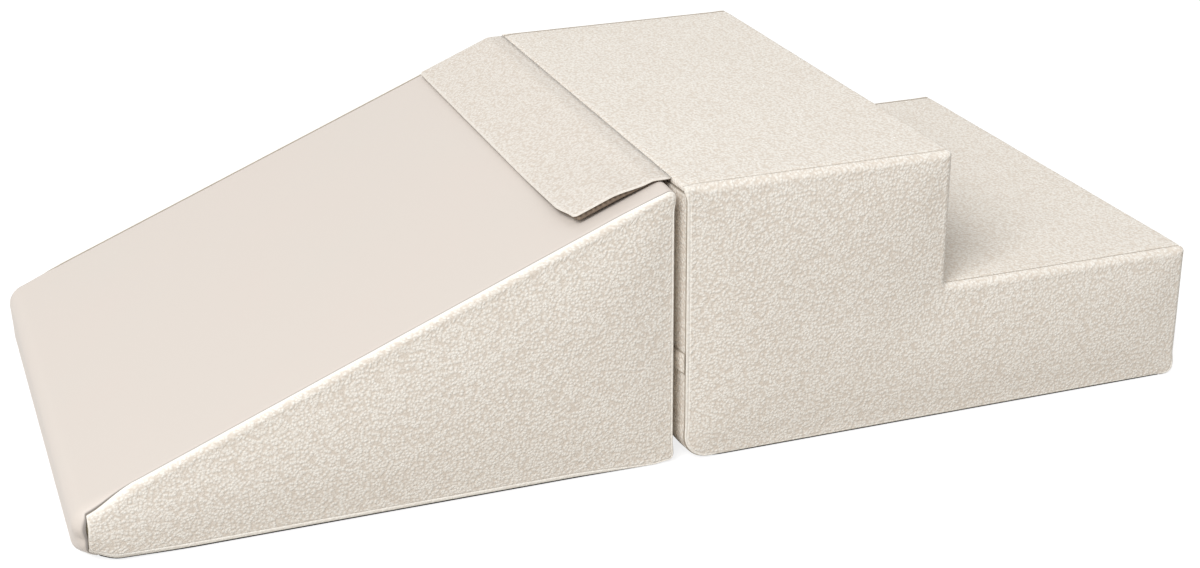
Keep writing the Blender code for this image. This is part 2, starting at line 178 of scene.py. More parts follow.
world = bpy.data.worlds.new("studio")
world.use_nodes = True
fill = world.node_tree.nodes["Background"]
fill.inputs["Color"].default_value = WHITE
fill.inputs["Strength"].default_value = SKY
backdrop = add(world, "ShaderNodeBackground", {}, {"Color": WHITE, "Strength": 1.0})
shown = add(world, "ShaderNodeMixShader", {}, {
    0: seen_directly(world), 1: fill.outputs[0], 2: backdrop.outputs[0]})
world.node_tree.links.new(shown.outputs[0], world.node_tree.nodes["World Output"].inputs["Surface"])
bpy.context.scene.world = world
bpy.context.scene.view_settings.view_transform = "Standard"

floor_paper, paper_shader = new_material("white_studio_paper", 0.9)
paper_shader.inputs["Base Color"].default_value = FLOOR_COLOUR
paper_shader.inputs["Specular IOR Level"].default_value = 0.1
paper_white = add(floor_paper, "ShaderNodeEmission", {}, {"Color": WHITE, "Strength": FLOOR_GLOW})
paper_shade = add(floor_paper, "ShaderNodeBsdfDiffuse", {}, {"Color": FLOOR_SHADE})
paper_seen = add(floor_paper, "ShaderNodeAddShader", {}, {
    0: paper_white.outputs[0], 1: paper_shade.outputs[0]})
paper_mix = add(floor_paper, "ShaderNodeMixShader", {}, {
    0: seen_directly(floor_paper), 1: paper_shader.outputs[0], 2: paper_seen.outputs[0]})
paper_out = floor_paper.node_tree.nodes["Material Output"]
floor_paper.node_tree.links.new(paper_mix.outputs[0], paper_out.inputs["Surface"])

bm = bmesh.new()
bmesh.ops.create_grid(bm, x_segments=1, y_segments=1, size=FLOOR_SIZE / 2)
floor_mesh = bpy.data.meshes.new("floor")
bm.to_mesh(floor_mesh)
bm.free()
floor_mesh.materials.append(floor_paper)
studio_floor = bpy.data.objects.new("floor", floor_mesh)
bpy.context.scene.collection.objects.link(studio_floor)
print("key lamp", KEY_WATTS, "W, sky", SKY)

# %% [markdown]
# Boucle is a woven or knitted cloth whose yarn stands up in small loops and curls. Here the curls
# are about 3 mm apart, and each is a tangle of fine strands. It is far too fine to model loop by
# loop, so the material raises it: a smooth cell pattern makes the knots, the contour lines of a
# noise make strands that wander like worms between them, and a fine noise makes fibres. The same
# pattern paints the low places between the loops darker: painted shade, for the shadow that falls
# between them.
# All of it reads "cloth", the place in metres on the flat cloth, so the pattern bends with the cover.
# "pile" is 1 in the open cloth and falls to 0 at a seam, where the loops are pressed flat, and where
# the pile is low the colour is painted lighter, a painted highlight. "seam" is 1 on the border that
# turns down into a seam, where the colour is painted darker: painted shade in the seam. The flap's
# pile is brushed down the slope by every child that slides, so it lies away from the lamp, and the
# flap gets a darker copy of the boucle: painted shade.

# %% Boucle
KNOT = 3.1 * MM
KNOT_WARP = 4.5 * MM
WARP_SHARE = 0.25
KNOT_MIDDLE, KNOT_RIM = 0.1, 0.75
STRAND_FIELD = 5.0 * MM
STRAND_LINES = 5.0
STRAND_SHARE = 0.1
FIBRE = 0.8 * MM
FIBRE_SHARE = 0.5
LOOPS_LOW, LOOPS_HIGH = 0.15, 1.15
CLOUD = 90 * MM
CLOUD_SHARE = 0.10
PILE_HEIGHT = 1.0 * MM
# The colour painted into a boucle seam: painted shade, for the shadow in the seam's slot.
BOUCLE_SEAM_PAINTED_SHADE = linear("ADA294")


def paint_seam_shade(mat, colour, painted_shade_colour):
    """The cloth's colour, with a darker one painted where the cloth turns down into a seam: painted shade.
    """
    seam = add(mat, "ShaderNodeAttribute", {"attribute_name": "seam"}, {}).outputs["Fac"]
    shaded = add(mat, "ShaderNodeMix", {"data_type": "RGBA"}, {
        0: seam, MIX_A: colour.outputs[MIX_OUT], MIX_B: painted_shade_colour})
    return shaded.outputs[MIX_OUT]


def boucle_material(name, deep, light, contrast):
    """Loops stand light over a ground that is painted darker for the shade between them, with a dull, soft
    surface that scatters light.
    """
    mat, shader = new_material(name, 0.95)
    place = add(mat, "ShaderNodeAttribute", {"attribute_name": "cloth"}, {}).outputs["Vector"]
    pile = add(mat, "ShaderNodeAttribute", {"attribute_name": "pile"}, {}).outputs["Fac"]
    stir = add(mat, "ShaderNodeTexNoise", {}, {"Vector": place, "Scale": 1 / KNOT_WARP, "Detail": 1.0})
    stirred = add(mat, "ShaderNodeVectorMath", {"operation": "MULTIPLY_ADD"}, {
        0: stir.outputs["Color"], 1: (KNOT_WARP * WARP_SHARE,) * 3, 2: place}).outputs[0]
    knots = add(mat, "ShaderNodeTexVoronoi", {"feature": "SMOOTH_F1"}, {
        "Vector": stirred, "Scale": 1 / KNOT, "Smoothness": 0.25})
    knot = add(mat, "ShaderNodeMapRange", {}, {
        "Value": knots.outputs["Distance"], "From Min": KNOT_MIDDLE, "From Max": KNOT_RIM,
        "To Min": 1.0, "To Max": 0.0})
    field = add(mat, "ShaderNodeTexNoise", {}, {
        "Vector": stirred, "Scale": 1 / STRAND_FIELD, "Detail": 1.5, "Roughness": 0.6})
    lines = add(mat, "ShaderNodeMath", {"operation": "MULTIPLY"}, {
        0: field.outputs["Fac"], 1: STRAND_LINES * 2 * math.pi})
    strands = add(mat, "ShaderNodeMath", {"operation": "SINE"}, {0: lines.outputs[0]})
    fibre = add(mat, "ShaderNodeTexNoise", {}, {"Vector": place, "Scale": 1 / FIBRE, "Detail": 2.0})

    loops = add(mat, "ShaderNodeMath", {"operation": "MULTIPLY_ADD"}, {
        0: strands.outputs[0], 1: STRAND_SHARE, 2: knot.outputs[0]})
    loops = add(mat, "ShaderNodeMath", {"operation": "MULTIPLY_ADD"}, {
        0: fibre.outputs["Fac"], 1: FIBRE_SHARE, 2: loops.outputs[0]})
    height = add(mat, "ShaderNodeMath", {"operation": "MULTIPLY"}, {0: loops.outputs[0], 1: pile})
    bump = add(mat, "ShaderNodeBump", {}, {
        "Height": height.outputs[0], "Strength": 0.6, "Distance": PILE_HEIGHT})

    # The low places between the loops are painted darker: painted shade.
    painted_loop_shade = add(mat, "ShaderNodeMapRange", {}, {
        "Value": loops.outputs[0], "From Min": LOOPS_LOW, "From Max": LOOPS_HIGH,
        "To Min": 1.0 - contrast, "To Max": 1.0})
    # Where the pile is low the colour goes to the light one, with no loop shade: pressed pile and a
    # painted highlight.
    pressed_painted_highlight = add(mat, "ShaderNodeMix", {}, {"Factor": pile, 2: 1.0, 3: painted_loop_shade.outputs[0]})
    cloud = add(mat, "ShaderNodeTexNoise", {}, {"Vector": place, "Scale": 1 / CLOUD, "Detail": 2.0})
    clouded = add(mat, "ShaderNodeMath", {"operation": "MULTIPLY_ADD"}, {
        0: cloud.outputs["Fac"], 1: CLOUD_SHARE, 2: pressed_painted_highlight.outputs[0]})
    shifted = add(mat, "ShaderNodeMath", {"operation": "SUBTRACT", "use_clamp": True}, {
        0: clouded.outputs[0], 1: CLOUD_SHARE / 2})
    colour = add(mat, "ShaderNodeMix", {"data_type": "RGBA"}, {
        0: shifted.outputs[0], MIX_A: linear(deep), MIX_B: linear(light)})
    plug(mat, paint_seam_shade(mat, colour, BOUCLE_SEAM_PAINTED_SHADE), shader, "Base Color")
    plug(mat, bump.outputs[0], shader, "Normal")
    shader.inputs["Specular IOR Level"].default_value = 0.2
    shader.inputs["Sheen Weight"].default_value = 0.12
    shader.inputs["Sheen Roughness"].default_value = 0.6
    shader.inputs["Sheen Tint"].default_value = linear("FFF8EE")
    return mat


boucle = boucle_material("cream_boucle", "DED1C2", "FEFAF2", 0.85)
# A darker copy of the boucle for the flap: painted shade, since its pile lies down the slope, away from
# the lamp.
boucle_painted_darker = boucle_material("cream_boucle_painted_darker", "D4C7B9", "F1ECE4", 0.85)
print("boucle knots", KNOT / MM, "mm apart")

# %% [markdown]
# Leatherette is a knitted backing with a smooth skin of polyurethane. Its skin has a fine pebbled
# grain, here about 0.9 mm, that hardly shows, and a soft satin gloss. The sheet is one colour, with
# faint warmer and cooler clouds where it was stretched or rubbed.

# %% Leatherette
GRAIN = 0.9 * MM
SKIN_CLOUD = 160 * MM
# The colour painted into a leatherette seam: painted shade, for the shadow in the seam's slot.
SKIN_SEAM_PAINTED_SHADE = linear("A39C96")

leatherette, skin = new_material("polyurethane_leatherette", 0.46)
skin_place = add(leatherette, "ShaderNodeAttribute", {"attribute_name": "cloth"}, {}).outputs["Vector"]
pebbles = add(leatherette, "ShaderNodeTexVoronoi", {"feature": "SMOOTH_F1"}, {
    "Vector": skin_place, "Scale": 1 / GRAIN, "Smoothness": 0.4})
skin_bump = add(leatherette, "ShaderNodeBump", {"invert": True}, {
    "Height": pebbles.outputs["Distance"], "Strength": 0.10, "Distance": 0.12 * MM})
skin_cloud = add(leatherette, "ShaderNodeTexNoise", {}, {
    "Vector": skin_place, "Scale": 1 / SKIN_CLOUD, "Detail": 2.0})
skin_colour = add(leatherette, "ShaderNodeMix", {"data_type": "RGBA"}, {
    0: skin_cloud.outputs["Fac"], MIX_A: linear("DED3CA"), MIX_B: linear("DCD4CB")})
plug(leatherette, paint_seam_shade(leatherette, skin_colour, SKIN_SEAM_PAINTED_SHADE), skin, "Base Color")
plug(leatherette, skin_bump.outputs[0], skin, "Normal")
skin.inputs["IOR"].default_value = 1.5
skin.inputs["Specular IOR Level"].default_value = 0.35
print("leatherette grain", GRAIN / MM, "mm")

# %% [markdown]
# The plainer textiles are all woven: threads cross over and under at an even spacing. Two wave
# textures at right angles make the threads, and their product makes the crossings. The lining is a
# brown cotton twill, the hook and loop tapes are nylon, and the base cloth is a dark polyester with
# rubber dots that grip the floor. A wave texture counts 20 radians to a unit, so a wave is 2 pi times
# the length written here: 5 to 9 mm. That is coarser than the real weave, and little of it shows
# until the flap is lifted.

# %% Woven cloths
WAVE_RADIANS = 20
TWILL = 0.9 * MM
TAPE_THREAD = 0.8 * MM
HOOK_THREAD = 1.4 * MM
BASE_THREAD = 1.0 * MM
DOT_SPACING = 6.0 * MM
DOT_FULL, DOT_EDGE = 0.17, 0.23


def woven_material(name, dark, light, thread, roughness, depth):
    """Threads over and under at one spacing, lighter on top and darker where they dip."""
    mat, shader = new_material(name, roughness)
    place = add(mat, "ShaderNodeAttribute", {"attribute_name": "cloth"}, {}).outputs["Vector"]
    waves = []
    for direction in ("X", "Y"):
        wave = add(mat, "ShaderNodeTexWave", {"bands_direction": direction}, {
            "Vector": place, "Scale": 1 / thread / WAVE_RADIANS, "Distortion": 0.4, "Detail": 1.0,
            "Detail Scale": 2.0})
        waves.append(wave.outputs["Fac"])
    weave = add(mat, "ShaderNodeMath", {"operation": "MULTIPLY"}, {0: waves[0], 1: waves[1]})
    colour = add(mat, "ShaderNodeMix", {"data_type": "RGBA"}, {
        0: weave.outputs[0], MIX_A: linear(dark), MIX_B: linear(light)})
    bump = add(mat, "ShaderNodeBump", {}, {
        "Height": weave.outputs[0], "Strength": 0.6, "Distance": depth})
    plug(mat, colour.outputs[MIX_OUT], shader, "Base Color")
    plug(mat, bump.outputs[0], shader, "Normal")
    shader.inputs["Specular IOR Level"].default_value = 0.2
    return mat, shader, place, colour


lining_twill = woven_material("brown_cotton_twill", "76675A", "A39280", TWILL, 0.9, 0.2 * MM)[0]
nylon_tape = woven_material("woven_nylon_tape", "A39A8D", "C9C0B2", TAPE_THREAD, 0.8, 0.2 * MM)[0]
loop_tape = woven_material("nylon_loop_pile", "B9B0A3", "DAD2C6", TAPE_THREAD, 0.95, 0.35 * MM)[0]
hook_tape = woven_material("nylon_hook_tape", "98907F", "CFC7BA", HOOK_THREAD, 0.45, 0.5 * MM)[0]

base_cloth, base_shader, base_place, base_colour = woven_material(
    "dotted_anti_slip_polyester", "1C1A19", "34302D", BASE_THREAD, 0.85, 0.15 * MM)
dots = add(base_cloth, "ShaderNodeTexVoronoi", {"feature": "F1"}, {
    "Vector": base_place, "Scale": 1 / DOT_SPACING, "Randomness": 0.0})
dot = add(base_cloth, "ShaderNodeMapRange", {"interpolation_type": "SMOOTHSTEP"}, {
    "Value": dots.outputs["Distance"], "From Min": DOT_FULL, "From Max": DOT_EDGE,
    "To Min": 1.0, "To Max": 0.0})
dotted = add(base_cloth, "ShaderNodeMix", {"data_type": "RGBA"}, {
    0: dot.outputs[0], MIX_A: base_colour.outputs[MIX_OUT], MIX_B: linear("0E0D0D")})
dot_bump = add(base_cloth, "ShaderNodeBump", {}, {
    "Height": dot.outputs[0], "Strength": 0.8, "Distance": 0.5 * MM})
plug(base_cloth, dotted.outputs[MIX_OUT], base_shader, "Base Color")
plug(base_cloth, dot_bump.outputs[0], base_shader, "Normal")
print("base cloth dots", DOT_SPACING / MM, "mm apart")

# %% [markdown]
# The harder and hidden materials: the zip's coil is drawn nylon, its slider is cast zinc with a
# plated finish, and the core is open-cell foam, whose cut surface is full of pores about 1 mm wide.

# %% Nylon, zinc and foam
COIL_MOTTLE = 3 * MM
ZINC_MOTTLE = 1.5 * MM
PORE = 1.1 * MM


def solid_material(name, roughness, metallic, pattern, sockets, output, dark, light):
    """A finish whose colour moves between two with a pattern in the piece's own space."""
    mat, shader = new_material(name, roughness, metallic)
    place = add(mat, "ShaderNodeTexCoord", {}, {}).outputs["Object"]
    value = add(mat, pattern, {}, {"Vector": place, **sockets}).outputs[output]
    colour = add(mat, "ShaderNodeMix", {"data_type": "RGBA"}, {
        0: value, MIX_A: linear(dark), MIX_B: linear(light)})
    plug(mat, colour.outputs[MIX_OUT], shader, "Base Color")
    return mat, shader, value


coil_nylon = solid_material(
    "drawn_nylon_monofilament", 0.35, 0.0, "ShaderNodeTexNoise", {"Scale": 1 / COIL_MOTTLE}, "Fac",
    "B3AA9C", "C6BDB0")[0]

zinc, zinc_shader, zinc_mottle = solid_material(
    "nickel_plated_zinc_casting", 0.32, 1.0, "ShaderNodeTexNoise",
    {"Scale": 1 / ZINC_MOTTLE, "Detail": 3.0}, "Fac", "A9A6A1", "C9C7C3")
zinc_gloss = add(zinc, "ShaderNodeMapRange", {}, {"Value": zinc_mottle, "To Min": 0.22, "To Max": 0.42})
plug(zinc, zinc_gloss.outputs[0], zinc_shader, "Roughness")

foam, foam_shader, foam_pores = solid_material(
    "open_cell_polyurethane_foam", 0.95, 0.0, "ShaderNodeTexVoronoi", {"Scale": 1 / PORE}, "Distance",
    "C9BE96", "EFE6C4")
foam_bump = add(foam, "ShaderNodeBump", {}, {"Height": foam_pores, "Strength": 0.7, "Distance": 0.4 * MM})
plug(foam, foam_bump.outputs[0], foam_shader, "Normal")
print("foam pores", PORE / MM, "mm")

# %% [markdown]
# Each module is one outline, seen from the near side, carried straight across. The slide is a wedge
# and the block is a stair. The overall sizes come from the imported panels. The heights of the nose and
# the tread repeat the model's own values, since they can't be read off a box. The crest and the
# steps' edges are a little sharper than the solids', as sewn corners are.

# %% Module outlines
NOSE_HEIGHT = 56 * MM
TREAD_HEIGHT = 156 * MM
TOP_LENGTH = 304 * MM
CREST_ROUND = 12 * MM
CREST_SEWN_ROUND = 8 * MM
SLIDE_HEEL_ROUND = 10 * MM
NOSE_ROUND = 24 * MM
NOSE_FOOT_ROUND = 12 * MM
STEP_SEAM_ROUND = 3 * MM
STEP_EDGE_ROUND = 6 * MM
STEP_FOLD_ROUND = 4 * MM
STEP_TOE_ROUND = 12 * MM
STEP_HEEL_ROUND = 30 * MM

slide_low, slide_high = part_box("slide_side_panel_near")
steps_low, steps_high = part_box("steps_side_panel_near")
far_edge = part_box("steps_side_panel_far")[1][1]
SLIDE_X0, SLIDE_X1, CREST_TOP = slide_low[0], slide_high[0], slide_high[2]
STEPS_X0, STEPS_X1, TOP = steps_low[0], steps_high[0], steps_high[2]
HALF_WIDTH = (far_edge - steps_low[1]) / 2
SLIDE_Y = slide_low[1] + HALF_WIDTH
STEPS_Y = steps_low[1] + HALF_WIDTH
TOP_END = STEPS_X0 + TOP_LENGTH


def slope_angle():
    """The slope leaves the sharp nose corner and touches the rounded crest."""
    run = SLIDE_X1 - SLIDE_X0 - CREST_ROUND
    rise = CREST_TOP - CREST_ROUND - NOSE_HEIGHT
    return math.atan2(rise, run) + math.asin(CREST_ROUND / math.hypot(run, rise))


SLOPE = slope_angle()
CREST_CORNER = NOSE_HEIGHT + (SLIDE_X1 - SLIDE_X0) * math.tan(SLOPE)

slide_corners = ((SLIDE_X1, 0), (SLIDE_X1, CREST_CORNER), (SLIDE_X0, NOSE_HEIGHT), (SLIDE_X0, 0))
slide_radii = (SLIDE_HEEL_ROUND, CREST_SEWN_ROUND, NOSE_ROUND, NOSE_FOOT_ROUND)
steps_corners = (
    (STEPS_X0, 0), (STEPS_X1, 0), (STEPS_X1, TREAD_HEIGHT), (TOP_END, TREAD_HEIGHT), (TOP_END, TOP),
    (STEPS_X0, TOP),
)
steps_radii = (
    STEP_HEEL_ROUND, STEP_TOE_ROUND, STEP_EDGE_ROUND, STEP_FOLD_ROUND, STEP_EDGE_ROUND, STEP_SEAM_ROUND,
)
print("slope", round(math.degrees(SLOPE), 2), "degrees, half width", round(HALF_WIDTH, 4))

# %% [markdown]
# Cloth over foam is drawn from one rule: walk round the outline, and for each place know the point,
# the way inwards and how softly the block is rounded over towards its side. Moving a rounded outline
# inwards isn't a scale: an outer corner loses radius and an inner one gains it. The function below
# gives the same number of points at any inset, so that two insets can be joined point for point.

# %% Rounded outlines
LINE_STEP = 4 * MM
ARC_STEP = 1.2 * MM
STRAIGHT = math.radians(0.5)
LEAST_ROUND = 0.5 * MM


def rounded_outline(corners, radii, inset=0.0, closed=True):
    """The points of an anticlockwise outline with an arc at each corner, moved inwards by inset."""
    points = [Vector(corner) for corner in corners]
    count = len(points)
    arcs = []
    for i, here in enumerate(points):
        before = (here - points[i - 1]).normalized()
        after = (points[(i + 1) % count] - here).normalized()
        if not closed and i in (0, count - 1):
            along = after if i == 0 else before
            arcs.append([here + inset * Vector((-along.y, along.x))])
            continue
        turn = before.angle_signed(after) * -1
        left_before = Vector((-before.y, before.x))
        left_after = Vector((-after.y, after.x))
        moved = here + (left_before + left_after) * inset / (1 + left_before.dot(left_after))
        if abs(turn) < STRAIGHT:
            arcs.append([moved])
            continue
        side = math.copysign(1, turn)
        radius = max(radii[i] - side * inset, LEAST_ROUND)
        start = moved - before * radius * math.tan(abs(turn) / 2)
        centre = start + side * radius * left_before
        steps = max(3, math.ceil(abs(turn) * radii[i] / ARC_STEP))
        spokes = [Matrix.Rotation(turn * k / steps, 2) for k in range(steps + 1)]
        arcs.append([centre + spoke @ (start - centre) for spoke in spokes])
    outline = []
    for i, arc in enumerate(arcs):
        outline += arc
        if closed or i < count - 1:
            following = arcs[(i + 1) % count][0]
            steps = math.ceil((points[(i + 1) % count] - points[i]).length / LINE_STEP)
            outline += [arc[-1].lerp(following, k / steps) for k in range(1, steps)]
    return outline


print("slide outline has", len(rounded_outline(slide_corners, slide_radii)), "points")

# %% [markdown]
# The foam is rounded over towards both sides, but not evenly. Along the top edges the cover rolls
# over 8 to 10 mm. Where the modules meet, and along the floor, the edge is tight, 2 to 6 mm. The
# nose has the softest corners, because there the leatherette is pulled round them. Next to its two
# sides the face that meets the other module is also pulled in by about 3 mm, which opens the gap
# that the photograph shows. A crease runs along those edges, where the allowance of the seam lies
# under the cloth. One function turns a value for each corner and each edge into a smooth rule.
#
# The seam lies 9 mm in on the top faces and just round the edge elsewhere. Down the nose it is
# straight and 14 mm back, where the leatherette wraps onto the side. The two lowest corners of the
# nose are worn softest of all, so everything near them is pushed in towards the block.
#
# Each table holds the values at the corners, the values along the edges and how far a corner's value
# reaches. Its rows are the radius towards the side, the slack, how far in the seam lies, how strong
# the crease is and how far in it lies, and how far from the seam the pile is pressed flat.

# %% Rules along an outline
RULE_REACH = 16 * MM
SEAM_REACH = 10 * MM
FOLD_REACH = 110 * MM
EDGE_ROUND = 8 * MM
SLACK_REACH = 30 * MM
NOSE_SEAM = 14 * MM
FOOT_PUSH = 13 * MM
FOOT_REACH = 44 * MM


def mm(*values):
    return tuple(value * MM for value in values)


slide_table = {
    "round": (mm(3, 5, 16, 12), mm(2.5, 8, 20, 6), mm(16, 60, 16, 110)),
    "slack": (mm(2, 0.6, 0, 0), mm(3, 0, 0, 0), RULE_REACH),
    "seam": (mm(1, 9, 4, 3.5), mm(1, 9, 9, 0.8), mm(10, 60, 10, 110)),
    "crease": ((1, 0.4, 0, 0.6), (1, 0, 0, 1), RULE_REACH),
    "fold": (mm(3, 3, 4, 9.5), mm(3.2, 3.2, 3.2, 7.8), FOLD_REACH),
    "press": (mm(1, 4, 3, 1), mm(1, 6, 1, 1), RULE_REACH),
}
steps_table = {
    "round": (mm(3, 4, 8, 8, 8, 4), mm(5, 8, 10, 8, 10, 2), RULE_REACH),
    "slack": (mm(1.5, 0, 0, 0, 0, 1.2), mm(0, 0, 0, 0, 0, 2.6), RULE_REACH),
    "seam": (mm(1, 1, 9, 9, 9, 9), mm(0.6, 9, 9, 9, 9, 1), SEAM_REACH),
    "crease": ((1, 0.8, 0, 0, 0, 0.5), (0.3, 0.6, 0, 0, 0, 1), RULE_REACH),
    "fold": (mm(4, 4, 4, 4, 4, 4), mm(5.5, 4, 4, 4, 4, 4.5), FOLD_REACH),
    "press": (mm(*[0.7] * 6), mm(*[0.7] * 6), RULE_REACH),
}


def smooth(value):
    value = min(max(value, 0.0), 1.0)
    return value * value * (3 - 2 * value)


def mix(a, b, share):
    return a + (b - a) * share


def outline_rule(corners, radii, corner_values, line_values, reach):
    """A function that gives a value at a point of the outline.

    It is one value round each corner and another along each edge, with a smooth change between,
    which takes up the length reach, or one length for each edge.
    """
    count = len(corners)
    reaches = reach if isinstance(reach, tuple) else (reach,) * count
    edges = []
    for k in range(count):
        here, there = Vector(corners[k]), Vector(corners[(k + 1) % count])
        edges.append((here, (there - here).normalized(), (there - here).length))
    setbacks = []
    for k in range(count):
        turn = edges[k - 1][1].angle(edges[k][1])
        setbacks.append(radii[k] * math.tan(turn / 2))

    def rule(point):
        def gap(k):
            start, along, length = edges[k]
            share = min(max((point - start).dot(along), 0.0), length)
            return (point - start - share * along).length
        k = min(range(count), key=gap)
        start, along, length = edges[k]
        done = (point - start).dot(along)
        left = length - done - setbacks[(k + 1) % count]
        done -= setbacks[k]
        corner = corner_values[k] if done < left else corner_values[(k + 1) % count]
        return mix(corner, line_values[k], smooth(min(done, left) / reaches[k]))
    return rule


def seam_at_inset(radius, inset):
    """How far from the side plane a seam lies that is inset by so much round a rounded edge."""
    share = min(max(inset / radius, 0.0), 1.0)
    return radius * (1 - math.sqrt(1 - (1 - share) ** 2))


def nose_seam_inset(point):
    """How far inwards from a point of the nose's outline the straight seam lies, or 0 past its ends."""
    rounding = NOSE_ROUND if point.y > NOSE_HEIGHT / 2 else NOSE_FOOT_ROUND
    back = point.x - SLIDE_X0
    if back >= rounding:
        return 0.0
    place = NOSE_SEAM - FOOT_PUSH / math.sqrt(3) * smooth(1 - point.y / FOOT_REACH)
    return max(rounding - (rounding - place) / (1 - back / rounding), 0.0)


def push_foot(at):
    """Pushes a place of the slide in towards the block, if it is near one of the nose's lowest corners."""
    for side in (-1, 1):
        corner = Vector((SLIDE_X0, SLIDE_Y + side * HALF_WIDTH, 0.0))
        share = smooth(1 - (at - corner).length / FOOT_REACH)
        at = at + Vector((1, -side, 1)).normalized() * FOOT_PUSH * share
    return at


slide_rules = [outline_rule(slide_corners, slide_radii, *row) for row in slide_table.values()]
steps_rules = [outline_rule(steps_corners, steps_radii, *row) for row in steps_table.values()]
slide_round_rule, plain_seam_rule = slide_rules[0], slide_rules[2]
slide_rules[2] = lambda point: min(
    plain_seam_rule(point), seam_at_inset(slide_round_rule(point), nose_seam_inset(point)))


def fall(edge, radius):
    """How far the rounded edge lies below the outline, edge metres in from the side plane."""
    if edge >= radius:
        return 0.0
    return radius - math.sqrt(max(radius ** 2 - (radius - edge) ** 2, 0.0))


def lean(edge, radius):
    """The share of a move into the block that goes down and the share that goes in from the side."""
    angle = math.asin(min(max(1 - edge / radius, 0.0), 1.0))
    return math.cos(angle), math.sin(angle)


def slack_share(edge):
    """The share of the slack that is left, edge metres in from the side plane."""
    return 1 - smooth(edge / SLACK_REACH)


# %% [markdown]
# Every cloth is a grid that is laid in place point by point, which keeps its faces even and gives it
# a rule for where each point lies on the flat cloth. A helper makes the grid and the object. The
# Solidify modifier then gives the cloth its thickness, inwards, and less of it where the cloth dips
# into a seam, so that it stays clear of the foam.

# %% Grids and objects
WELD = 0.00002


def grid(bm, rows, columns):
    """A grid of new points, as a list of rows."""
    made = bmesh.ops.create_grid(bm, x_segments=rows - 1, y_segments=columns - 1, size=0.5)["verts"]
    table = [[None] * columns for _ in range(rows)]
    for vert in made:
        row = round((0.5 - vert.co.x) * (rows - 1))
        column = round((0.5 + vert.co.y) * (columns - 1))
        table[row][column] = vert
    return table


def cloth_layers(bm):
    """The cloth's own attributes: its place on the flat cloth, its pile, its painted seam shade and its
    thickness.
    """
    return (
        bm.verts.layers.float_vector.new("cloth"),
        bm.verts.layers.float.new("pile"),
        bm.verts.layers.float.new("seam"),
        bm.verts.layers.deform.verify(),
    )


def make_piece(bm, name, mat, outward):
    """Makes an object of the mesh. outward tells which way the first face should look."""
    bmesh.ops.remove_doubles(bm, verts=bm.verts, dist=WELD)
    bmesh.ops.recalc_face_normals(bm, faces=bm.faces)
    bm.faces.ensure_lookup_table()
    bm.normal_update()
    total = sum((face.normal * face.calc_area() for face in bm.faces), Vector())
    if outward and total.dot(Vector(outward)) < 0:
        bmesh.ops.reverse_faces(bm, faces=bm.faces)
    mesh = bpy.data.meshes.new(name)
    bm.to_mesh(mesh)
    bm.free()
    mesh.shade_smooth()
    mesh.materials.append(mat)
    obj = bpy.data.objects.new(name, mesh)
    bpy.context.scene.collection.objects.link(obj)
    return obj


def thicken(obj, thickness):
    """Gives the cloth its thickness, away from its outer face, with less where it dips into a seam."""
    shell = obj.modifiers.new("thickness", "SOLIDIFY")
    shell.thickness = thickness
    shell.offset = -1
    shell.use_even_offset = False
    obj.vertex_groups.new(name="body")
    shell.vertex_group = "body"
    return obj


def lay_cloth(name, rows, columns, lie, mat, outward, thickness):
    """A cloth laid point by point by the function lie, which takes a row and a column.

    It gives the point, its place on the flat cloth, its pile, its painted seam shade and its thickness
    share.
    """
    bm = bmesh.new()
    place, pile, painted_seam_layer, group = cloth_layers(bm)
    for line, row in zip(grid(bm, len(rows), len(columns)), rows):
        for vert, column in zip(line, columns):
            vert.co, vert[place], vert[pile], vert[painted_seam_layer], vert[group][0] = lie(row, column)
    return thicken(make_piece(bm, name, mat, outward), thickness)


# %% [markdown]
# A seam is where two panels turn down together and are sewn 9 mm inside the edge. So each panel's
# border rolls down: 1.9 mm deep over 2.3 mm at the ends of a strip, 2.3 mm over 4.2 mm along its
# sides, and 1 mm over 1.3 mm on a side panel. Two rolls meet in a slot 0.7 mm wide, the thin dark
# line that the photograph shows. The border that turns into the slot is also painted darker, a
# painted shade that deepens this line. Near a seam the cloth is drawn in slightly, with small
# puckers, and over its whole face a stuffed cover is never quite flat.

# %% Seams and puckers
CLOTH = 2.2 * MM
SEAM_ROLL = 2.3 * MM
SEAM_DEPTH = 1.9 * MM
SEAM_SLOT = 0.35 * MM
STRIP_ROLL = 4.2 * MM
STRIP_DEPTH = 2.3 * MM
SIDE_ROLL = 1.3 * MM
SIDE_DEPTH = 1.0 * MM
SEAM_PULL = 0.35 * MM
PULL_REACH = 14 * MM
PUCKER = 0.12 * MM
PUCKER_LENGTH = 22 * MM
PUCKER_REACH = 18 * MM
PUCKER_LINE = 0.37
# How wide the painted seam shade is, and how far it fades out.
SEAM_SHADE = 0.8 * MM
SEAM_SHADE_FADE = 1.1 * MM
TIGHT_ROLL = 0.3
FLAT_SEAM = 9 * MM
PRESSED_FLAT = 0.3
LUMP = 34 * MM
LUMP_HEIGHT = 0.22 * MM
SMALL_LUMP_RATE, SMALL_LUMP_SHARE, SMALL_LUMP_SEED = 3.1, 0.5, 9


def seam_roll(distance, depth=SEAM_DEPTH, width=SEAM_ROLL):
    """How deep the border has rolled down, at a distance from the seam."""
    if distance >= width:
        return 0.0
    if distance <= SEAM_SLOT:
        return depth
    past = (distance - SEAM_SLOT) / (width - SEAM_SLOT)
    return depth * (1 - math.sqrt(1 - (1 - past) ** 2))


def seam_pull(distance, along):
    """The gentle dip beside a seam, with puckers along it."""
    near = math.exp(-max(distance, 0.0) / PULL_REACH)
    wave = noise.noise(Vector((along / PUCKER_LENGTH, PUCKER_LINE, 0.0)))
    return SEAM_PULL * near + PUCKER * wave * math.exp(-max(distance, 0.0) / PUCKER_REACH)


